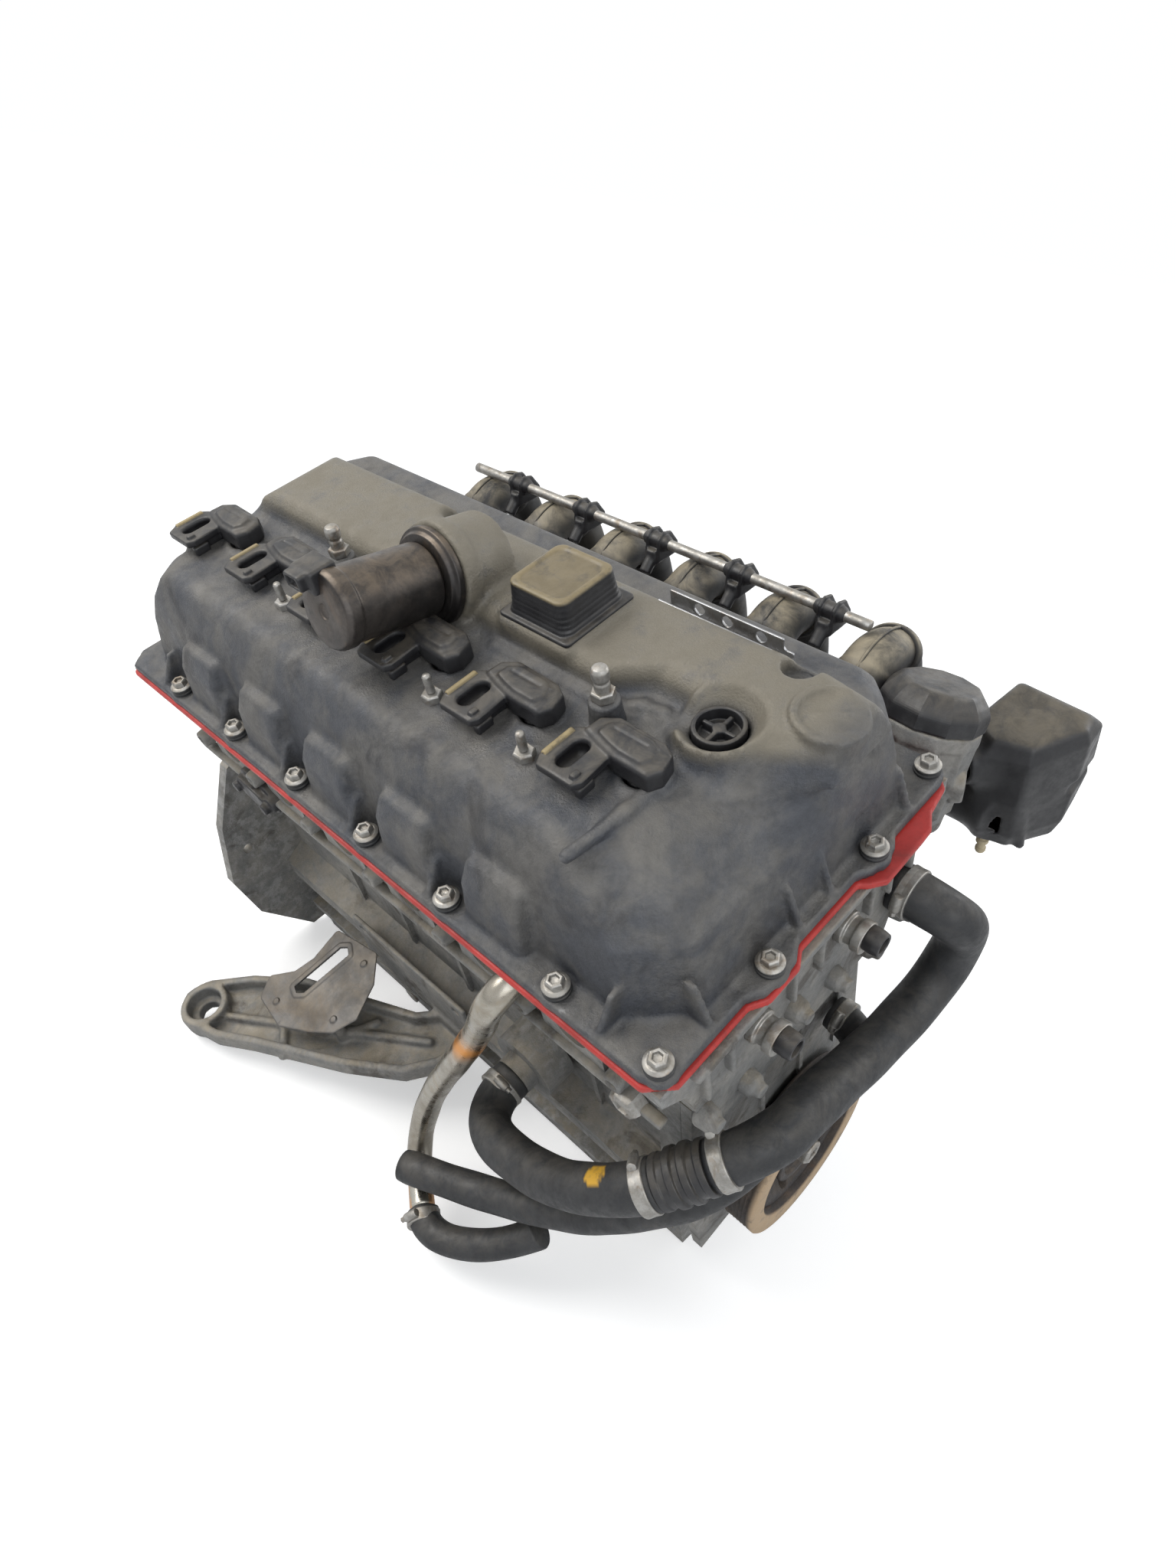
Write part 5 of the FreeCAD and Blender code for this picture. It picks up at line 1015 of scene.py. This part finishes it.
def clamp(point, heading, radius, turn=0.0):
    """A worm clamp: a flat band, the raised screw housing and the screw."""
    heading = np.asarray(heading, float) / np.linalg.norm(heading)
    side = np.cross(heading, UP)
    side /= np.linalg.norm(side)
    up = np.cross(side, heading)
    out = math.cos(turn) * up + math.sin(turn) * side
    across = np.cross(heading, out)
    point = np.asarray(point, float)
    band = lathed([(0, -5.5), (radius + 0.9, -5.5), (radius + 1.5, -4.7), (radius + 1.2, 0),
                   (radius + 1.5, 4.7), (radius + 0.9, 5.5), (0, 5.5)], 0.3, point, heading, 48)
    seat = point + out * (radius + 2.6)
    housing = lathed([(0, -7), (3.6, -7), (4.0, -3), (4.0, 5), (3.2, 7), (0, 7)], 0.6, seat, across, 16)
    screw = lathed([(0, 7), (2.6, 7), (2.6, 10.5), (1.2, 10.5), (1.0, 9.8), (0, 9.8)], 0.3, seat, across, 6)
    return merged([band, housing, screw])


hose("upper_coolant_hose", UPPER, 19.0, "upper_hose")
hose("elbow_coolant_hose", ELBOW, 19.0, "elbow_hose",
     marks=lambda x, y, z: ((x + 171) ** 2 + (y + 590) ** 2 + (z - 168) ** 2 < 90) * 0.9)
hose("lower_coolant_hose", LOWER, 15.0, "lower_hose", ends=(1, 0))
hose("return_hose", SLEEVE, 14.0, "pipe_hose")
hose("coolant_pipe", PIPE, 11.9, "steel_pipe", (0, 0), bright_pipe,
     lambda x, y, z: 0.95 * np.exp(-((z - 196) / 17) ** 2) * (x < -162) + 0.5 * (z < -16) * (y < -400))
clamps = [clamp((110, -660, 264), (0, -1, 0), 19, 1.2), clamp(COUPLER - ALONG * 10, ALONG, 19, 0.9),
          clamp(COUPLER + ALONG * 50, ALONG, 19, 0.6), clamp((-152, -440, 64), (1, 0, 0), 19, 0.3),
          clamp((66, -644, 122), (0, -1, 0), 15, 0.7), clamp(PIPE_END + PIPE_HEADING * 8, PIPE_HEADING, 14,
                                                             0.5)]
piece("hose_clamps", *merged(clamps), material=zinc_plate)
sleeve = rounded([(0, 0), (20.3, 0), (20.3, 5), (19.2, 6), (19.2, 11), (21.6, 12), (21.6, 17), (19.6, 18),
                  (19.6, 22), (21.6, 23), (21.6, 28), (19.2, 29), (19.2, 34), (20.3, 35), (20.3, 40),
                  (0, 40)], 0.6)
piece("hose_joint", *turned(sleeve, COUPLER, ALONG, 56), material=black_plastic, replaces=("hose_coupler",))

# %% [markdown]
# ## Crank pulley
# The rim carries six belt grooves. Its front ring is bare and rusted tan, and inside it the rubber
# line, the dark dished web with six holes and the centre bolt lie deeper.

# %% Crank pulley
FORWARD = (0.0, -1.0, 0.0)
BACK = 632.5


def turned_ring(profile, base, axis, around=96):
    """Like turned, for a closed profile that keeps clear of the axis."""
    points, faces = turned(profile, base, axis, around)
    rows = len(profile)
    i = (np.arange(rows) * around)[:, None]
    j = np.arange(around)[None, :]
    k = (j + 1) % around
    up = np.roll(i, -1, axis=0)
    return points, np.stack([i + j, i + k, up + k, up + j], -1).reshape(-1, 4)


grooves = [point for k in range(6) for point in ((84.8, 2.0 + 3.6 * k), (82.2, 3.8 + 3.6 * k))]
rim = [(66, 5), (67, 1), (83.5, 0.3)] + grooves + [(84.8, 23.6), (84.9, 28.6), (83.8, 29.8), (66.5, 29.8),
                                                   (65.0, 28.2), (64.0, 23.0), (63.4, 10.0), (64.0, 5.6)]
rim_points, rim_faces = turned_ring(rim, (0, -BACK, 0), FORWARD, 120)
spoke = np.hypot(rim_points[:, 0], rim_points[:, 2])
piece("pulley_rim", rim_points, rim_faces, body="crank", material=rusted_iron, replaces=("damper_pulley",),
      marks=np.clip((-rim_points[:, 1] - BACK - 27.0) / 1.5, 0, 1) * (spoke > 65.5))
web = Casting((-66, -667, -66), (66, -631, 66), 1.2)
web.add(rod((0, -BACK - 6, 0), (0, -BACK - 15, 0), 63.2, soft=1.5))
web.add(rod((0, -BACK - 3, 0), (0, -BACK - 23, 0), 63.2, soft=1.0))
web.cut(rod((0, -BACK - 13.5, 0), (0, -BACK - 30, 0), 42, 60, 3.0), 2.0)
web.add(rod((0, -BACK, 0), (0, -BACK - 23.8, 0), 36, soft=2.0), 3.0)
web.cut(rod((0, -BACK - 19, 0), (0, -BACK - 30, 0), 27, 30, 1.0), 1.0)
web.add(rod((0, -BACK - 16, 0), (0, -BACK - 21.4, 0), 19, soft=0.8), 0.8)
web.cut(rod((0, -BACK + 2, 0), (0, -BACK - 6.4, 0), 15.3))
for k in range(6):
    x, z = 47 * math.cos(math.pi / 3 * k), 47 * math.sin(math.pi / 3 * k)
    web.cut(rod((x, -BACK + 1, z), (x, -BACK - 30, z), 6.0))
cast("pulley_web", web, dark_iron, 90000, body="crank")
piece("pulley_bolt", *lathed([(0, 20.6), (12.6, 20.6), (12.6, 31.4), (10.8, 33), (7, 33), (6.4, 28),
                              (0, 27.5)], 0.8, (0, -BACK, 0), FORWARD, 6), body="crank",
      material=zinc_plate, smooth=False)

# %% [markdown]
# ## Intake side
# Six dusty plastic runners leave the head, arch over and drop into a long plenum. A runner is swept
# along its line and stretched along the engine, with a moulding seam over the arch and two hoops.

# %% Intake: runners and their flanges
PORT = 265.0
plate = Casting((130, -36, PORT - 30), (160, 36, PORT + 30), 1.4)
plate.add(block((138.7, 0, PORT), (4.2, 29, 23), 3.5))
plate.add(rod((138, 0, PORT), (153, 0, PORT), 22.5, 20.5, 2.0), 5.0)
for y, z in ((-22.5, 16), (22.5, -16)):
    plate.add(rod((135, y, PORT + z), (147, y, PORT + z), 6.4), 2.0)
plate_points, plate_faces = plate.skin()
runners, seams, flanges = [], [], []
for number in CYLINDERS:
    a = bore_ahead(number)
    path = [(134.8, -a, PORT), (186, -a, PORT), (200, -a, PORT + 62), (238, -a, PORT + 84),
            (276, -a, PORT + 56), (276, -a, PORT - 7)]
    line = spline(path, 64)
    far = np.linspace(0, 1, len(line))
    tube, faces = swept(line, 19.2 + 0.8 * np.sin(far * 5.0) + 1.3 * np.exp(-((far - 0.5) / 0.012) ** 2),
                        36)
    tube[:, 1] = -a + (tube[:, 1] + a) * (1.0 + 0.17 * np.repeat(np.r_[0, np.sin(far * math.pi), 0], 36))
    runners.append((tube, faces))
    heading = np.gradient(line, axis=0)
    heading /= np.linalg.norm(heading, axis=1)[:, None]
    outward = np.stack([-heading[:, 2], 0 * far, heading[:, 0]], -1)
    seams.append(swept((line + outward * 19.6)[6:-14], 1.5, 10))
    for share in (0.34, 0.74):
        k = int(share * len(line))
        hoop = rounded([(17, -3.5), (21.6, -3.5), (22.2, 0), (21.6, 3.5), (17, 3.5)], 0.8)
        points, quads = turned_ring(hoop, line[k], heading[k], 40)
        points[:, 1] = -a + (points[:, 1] + a) * 1.15
        seams.append((points, quads))
    flanges.append((plate_points + (0, -a, 0), plate_faces))
piece("intake_runner_tubes", *merged(runners), material=dusty_plastic, replaces=("intake_runners",))
piece("intake_runner_seams", *merged(seams), material=dusty_plastic)
piece("intake_runner_flanges", *merged(flanges), material=dusty_plastic)

# %% Intake: plenum, rail and its brackets
log = [(0, 0), (34, 0.5), (43, 3), (45.6, 10)]
for k in range(8):
    start = 24 + 66 * k
    log += [(45.2, start), (45.9, start + 1.5), (45.9, start + 5.5), (45.2, start + 7)]
log += [(45.2, 514), (45.9, 516), (45.9, 524.5), (41.5, 525), (40.5, 522), (40.5, 8), (0, 6)]
plenum, plenum_faces = turned(rounded(log, 1.0, 3), (276, -50, PORT - 52), FORWARD, 72)
piece("intake_plenum_log", plenum, plenum_faces, material=dusty_plastic, replaces=("intake_plenum",))
RAIL = 367.8
rail_line = np.stack([np.full(60, 238.0), -np.linspace(70, 535, 60), np.full(60, RAIL)], -1)
piece("intake_rail_bar", *swept(rail_line, 4.6, 20), material=zinc_plate, replaces=("intake_rail",))
bracket = Casting((208, -24, RAIL - 30), (266, 24, RAIL + 16), 1.2)
bracket.add(block((238, 0, RAIL - 9), (13, 5, 5), 2.0))
for y in (-6.5, 6.5):
    ear = [(226, RAIL - 16), (252, RAIL - 18), (256, RAIL - 8), (248, RAIL + 7), (238, RAIL + 11),
           (230, RAIL + 6)]
    bracket.add((lambda x, v, z, y=y: soft_max(polygon(x, z, np.array(ear)), np.abs(v - y) - 1.4, 0.8),
                 (224, y - 3, RAIL - 20), (258, y + 3, RAIL + 12)), 1.2)
bracket.add(bar((238, -9, RAIL), (238, 9, RAIL), 7.0), 1.0)
bracket.add(rod((216, 0, RAIL - 22), (228, 0, RAIL - 12), 5.5), 3.0)
ear_points, ear_faces = bracket.skin()
ears = [(ear_points + (0, -(bore_ahead(number) + 45), 0), ear_faces) for number in CYLINDERS[1:]]
piece("intake_rail_brackets", *merged(ears), material=black_plastic)
channel = Casting((82, -566, 434), (106, -450, 460), 1.0)
channel.add(block((94, -508, 446.3), (8, 52, 9), 1.0))
channel.cut(block((94, -508, 452), (5.8, 60, 10), 1.0))
for a in (482, 506, 534):
    channel.cut(rod((80, -a, 449), (108, -a, 449), 4.2))
channel.cut(block((94, -558, 452), (12, 6, 5), 2.0))
cast("rail_channel", channel, machined_steel, 60000, replaces=("support_rail",))

# %% [markdown]
# ## Oil filter and air duct
# The filter stands on the head's front right corner, leaning outward: a ribbed cast cup under a
# faceted black lid. Beside it the black duct box bends from its round neck into a deep body.

# %% Filter housing and lid
TILT = math.radians(25)
FILTER_UP = np.array((math.sin(TILT), 0.0, math.cos(TILT)))
FILTER_FOOT = np.array((176.0, -606.0, 256.0))


def up_filter(height):
    """A point on the filter's axis."""
    return FILTER_FOOT + FILTER_UP * height


cup = Casting((118, -652, 232), (262, -556, 352), 1.7)
cup.add(rod(up_filter(0), up_filter(83.6), 36.5, 37.5, 2.0))
cup.add(rod(up_filter(72), up_filter(83.6), 40, soft=1.5), 3.0)
cup.add(block((152, -606, 270), (21, 19, 29), 6), 8.0)
for k in range(10):
    turn_at = 2 * math.pi * k / 10
    out = np.array((math.cos(turn_at) * FILTER_UP[2], math.sin(turn_at),
                    -math.cos(turn_at) * FILTER_UP[0])) * 37.6
    low, high = up_filter(16) + out, up_filter(76) + out
    cup.add(bar(low, high, 2.2), 2.5)
cup.add(rod(up_filter(40) + (0, -34, 0), up_filter(40) + (4, -43, 0), 13, 11), 3.0)
cup.cut(rod(up_filter(12), up_filter(120), 32))
cast("filter_cup", cup, block_cast, 90000, replaces=("filter_housing",))
lid = [(0, 84.2), (41, 84.2), (41, 96), (40, 99), (37, 104), (31, 110.5), (28, 112), (0, 112.4)]
piece("filter_lid_top", *turned(rounded(lid, 1.6, 3), FILTER_FOOT, FILTER_UP, 11), body="filter_lid",
      material=black_plastic, replaces=("filter_cap",), smooth=False)
seal = lathed([(0, 70), (31.4, 70), (31.4, 84.1), (0, 84.1)], 1, FILTER_FOOT, FILTER_UP, 48)
piece("filter_lid_skirt", *seal, body="filter_lid", material=black_plastic)

# %% Duct box and nipple
BOX_LEVELS = [(181, [(256, -647), (260, -668), (290, -688), (314, -685), (316, -642), (268, -634)]),
              (200, [(250, -647), (256, -672), (293, -693), (320, -690), (324, -640), (266, -630)]),
              (240, [(247, -642), (252, -672), (300, -693), (330, -692), (337, -630), (266, -620)]),
              (284, [(248, -642), (256, -671), (300, -693), (324, -691), (330, -628), (266, -620)]),
              (298.5, [(256, -643), (262, -668), (299, -688), (312, -684), (316, -632), (268, -626)])]
duct = Casting((216, -706, 168), (352, -604, 306), 1.7)
duct.add(loft(BOX_LEVELS, 5.0, 5.0))
duct.add(rod((276, -609.9, 213), (276, -650, 213), 34, soft=2.0), 10.0)
duct.add(rod((244, -622, 268), (280, -648, 268), 21, 24, 2.0), 10.0)
duct.cut(rod((236, -616, 268), (262, -635, 268), 17.5))
duct.add(bar((256, -672, 236), (262, -680, 186), 4.0), 5.0)
duct.cut(rod((276, -606, 213), (276, -664, 213), 29))
duct.cut(bar((296, -700, 236), (330, -700, 236), 6.0), 4.0)
cast("duct_shell", duct, black_plastic, 110000, replaces=("duct_box",),
     marks=lambda x, y, z: 0.22 * np.clip((z - 297) / 4, 0, 1))
nipple = rounded([(0, 0), (3.8, 0), (4.6, 2), (4.6, 5), (3.6, 6), (3.6, 12), (5.4, 13), (5.4, 17),
                  (3.6, 18), (3.6, 25), (0, 25)], 0.5)
piece("duct_drain_nipple", *turned(nipple, (262, -650, 154.6), UP, 28), material=filter_paper,
      replaces=("duct_nipple",))

# %% [markdown]
# ## Mount bracket and heat shield
# The cast arm sweeps out to a ring for the engine mount. Its upper face is recessed behind a rim.
# Over it lies a thin pressed sheet with one long hole, on a plane that rises towards the block.

# %% Mount bracket
ARM = [(-117, 288), (-138, 268), (-160, 215), (-190, 140), (-228, 88), (-264, 54), (-292, 50), (-312, 76),
       (-301, 118), (-279, 156), (-259, 195), (-229, 254), (-193, 310), (-160, 334), (-117, 340)]
ARM = [(x, -a) for x, a in ARM]
STRUTS = (((-274, -104), (-150, -300)), ((-232, -150), (-262, -190)), ((-205, -222), (-172, -238)))
ARM_POSTS = ((-232, -150), (-205, -222))
SHIELD_SLOPE = 0.25
arm = Casting((-320, -352, -46), (-108, -40, 56), 2.0)
arm.add(slab(ARM, -36, -12.3, 0.0, 5.0))
arm.cut(slab(ARM, -28, -6, -9.0, 3.0), 3.0)
for (x0, y0), (x1, y1) in STRUTS:
    arm.add(bar((x0, y0, -25), (x1, y1, -25), 4.5), 5.0)
arm.add(column(-286, -76, -40, -11.6, 26, soft=2.5), 5.0)
arm.cut(column(-286, -76, -27, -4, 18, 19, 2.0), 2.0)
arm.add(block((-119.6, -253, 9), (2.6, 92, 38), 2.0), 7.0)
for x, y in ARM_POSTS:
    arm.add(rod((x, y, -26), (x, y, -8.6 + SHIELD_SLOPE * (x + 262)), 5.5), 3.0)
arm.cut(column(-286, -76, -50, 0, 11))
for y, z in ((-176, 34), (-330, 34), (-176, -16), (-330, -16)):
    arm.cut(rod((-126, y, z), (-112, y, z), 5.5))
cast("mount_arm", arm, block_cast, 120000, replaces=("mount_bracket",))

# %% Heat shield
EDGE = np.array([(-223, -119), (-202, -141), (-175, -150), (-138, -148), (-133, -180), (-129, -208),
                 (-153, -231), (-189, -244), (-213, -233), (-230, -207), (-247, -172), (-241, -128)], float)
HOLE = np.array([(-209, -155), (-212, -163), (-207, -170), (-150, -181), (-145, -173), (-150, -166)], float)
EDGE = EDGE.mean(axis=0) + (EDGE - EDGE.mean(axis=0)) * 0.91


shield = Casting((-254, -250, -4), (-122, -112, 9), 0.8)
shield.add(slab(EDGE, 0.4, 2.4, 5.0, 0.6))
shield.add(slab(HOLE, 0.4, 3.4, 5.0, 1.0), 1.5)
shield.cut(slab(HOLE, -4.0, 8.0, 0.0, 0.6))
for x, y in (*ARM_POSTS, (-146, -204)):
    shield.add(column(x, y, 1.0, 4.2, 4.2, 3.4), 0.8)
sheet_points, sheet_faces = shield.skin()
sheet_points[:, 2] += SHIELD_SLOPE * (sheet_points[:, 0] + 262.0) - 8.0
sheet_obj = piece("shield_sheet", sheet_points, sheet_faces, material=pressed_sheet,
                  replaces=("heat_shield",))
thin = sheet_obj.modifiers.new("thin", "DECIMATE")
thin.ratio = 0.3

# %% [markdown]
# ## Small fittings on the head
# Two adjuster valves look out of the front wall with a dark socket each. A hexagon plug sits in the
# left wall, behind the front corner.

# %% Head fittings
SOLENOIDS = (-58.0, 38.0)
FRONT_WALL = -649.4
valves, sockets = [], []
for x in SOLENOIDS:
    valves.append(lathed([(0, 0), (12.8, 0), (12.8, 5), (10.5, 6), (10.5, 11), (12.4, 12), (12.4, 19),
                          (0, 19)], 0.8, (x, FRONT_WALL, 296), FORWARD, 36))
    sockets.append(lathed([(0, 19), (9.5, 19), (9.5, 26), (8.6, 31), (6.2, 31), (6.2, 25), (0, 24.5)], 0.8,
                          (x, FRONT_WALL, 299), FORWARD, 24))
piece("adjuster_valves", *merged(valves), material=zinc_plate, replaces=("phaser_solenoids",))
piece("adjuster_sockets", *merged(sockets), material=black_plastic)
LEFTWARD = (-1.0, 0.0, 0.0)
hexagon = lathed([(0, 0), (13.6, 0), (13.6, 10), (12, 14), (7, 15.6), (6.4, 12), (0, 11.5)], 1.0,
                 (-126.4, -600, 240), LEFTWARD, 6)
piece("wall_plug", *hexagon, material=zinc_plate, replaces=("head_plug",), smooth=False)

# %% [markdown]
# ## Dressed size
# The last cell measures the box of the dressed engine and prints it.

low, high = (tuple(corner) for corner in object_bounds())
print("dressed box", [round(v, 3) for v in low + high])
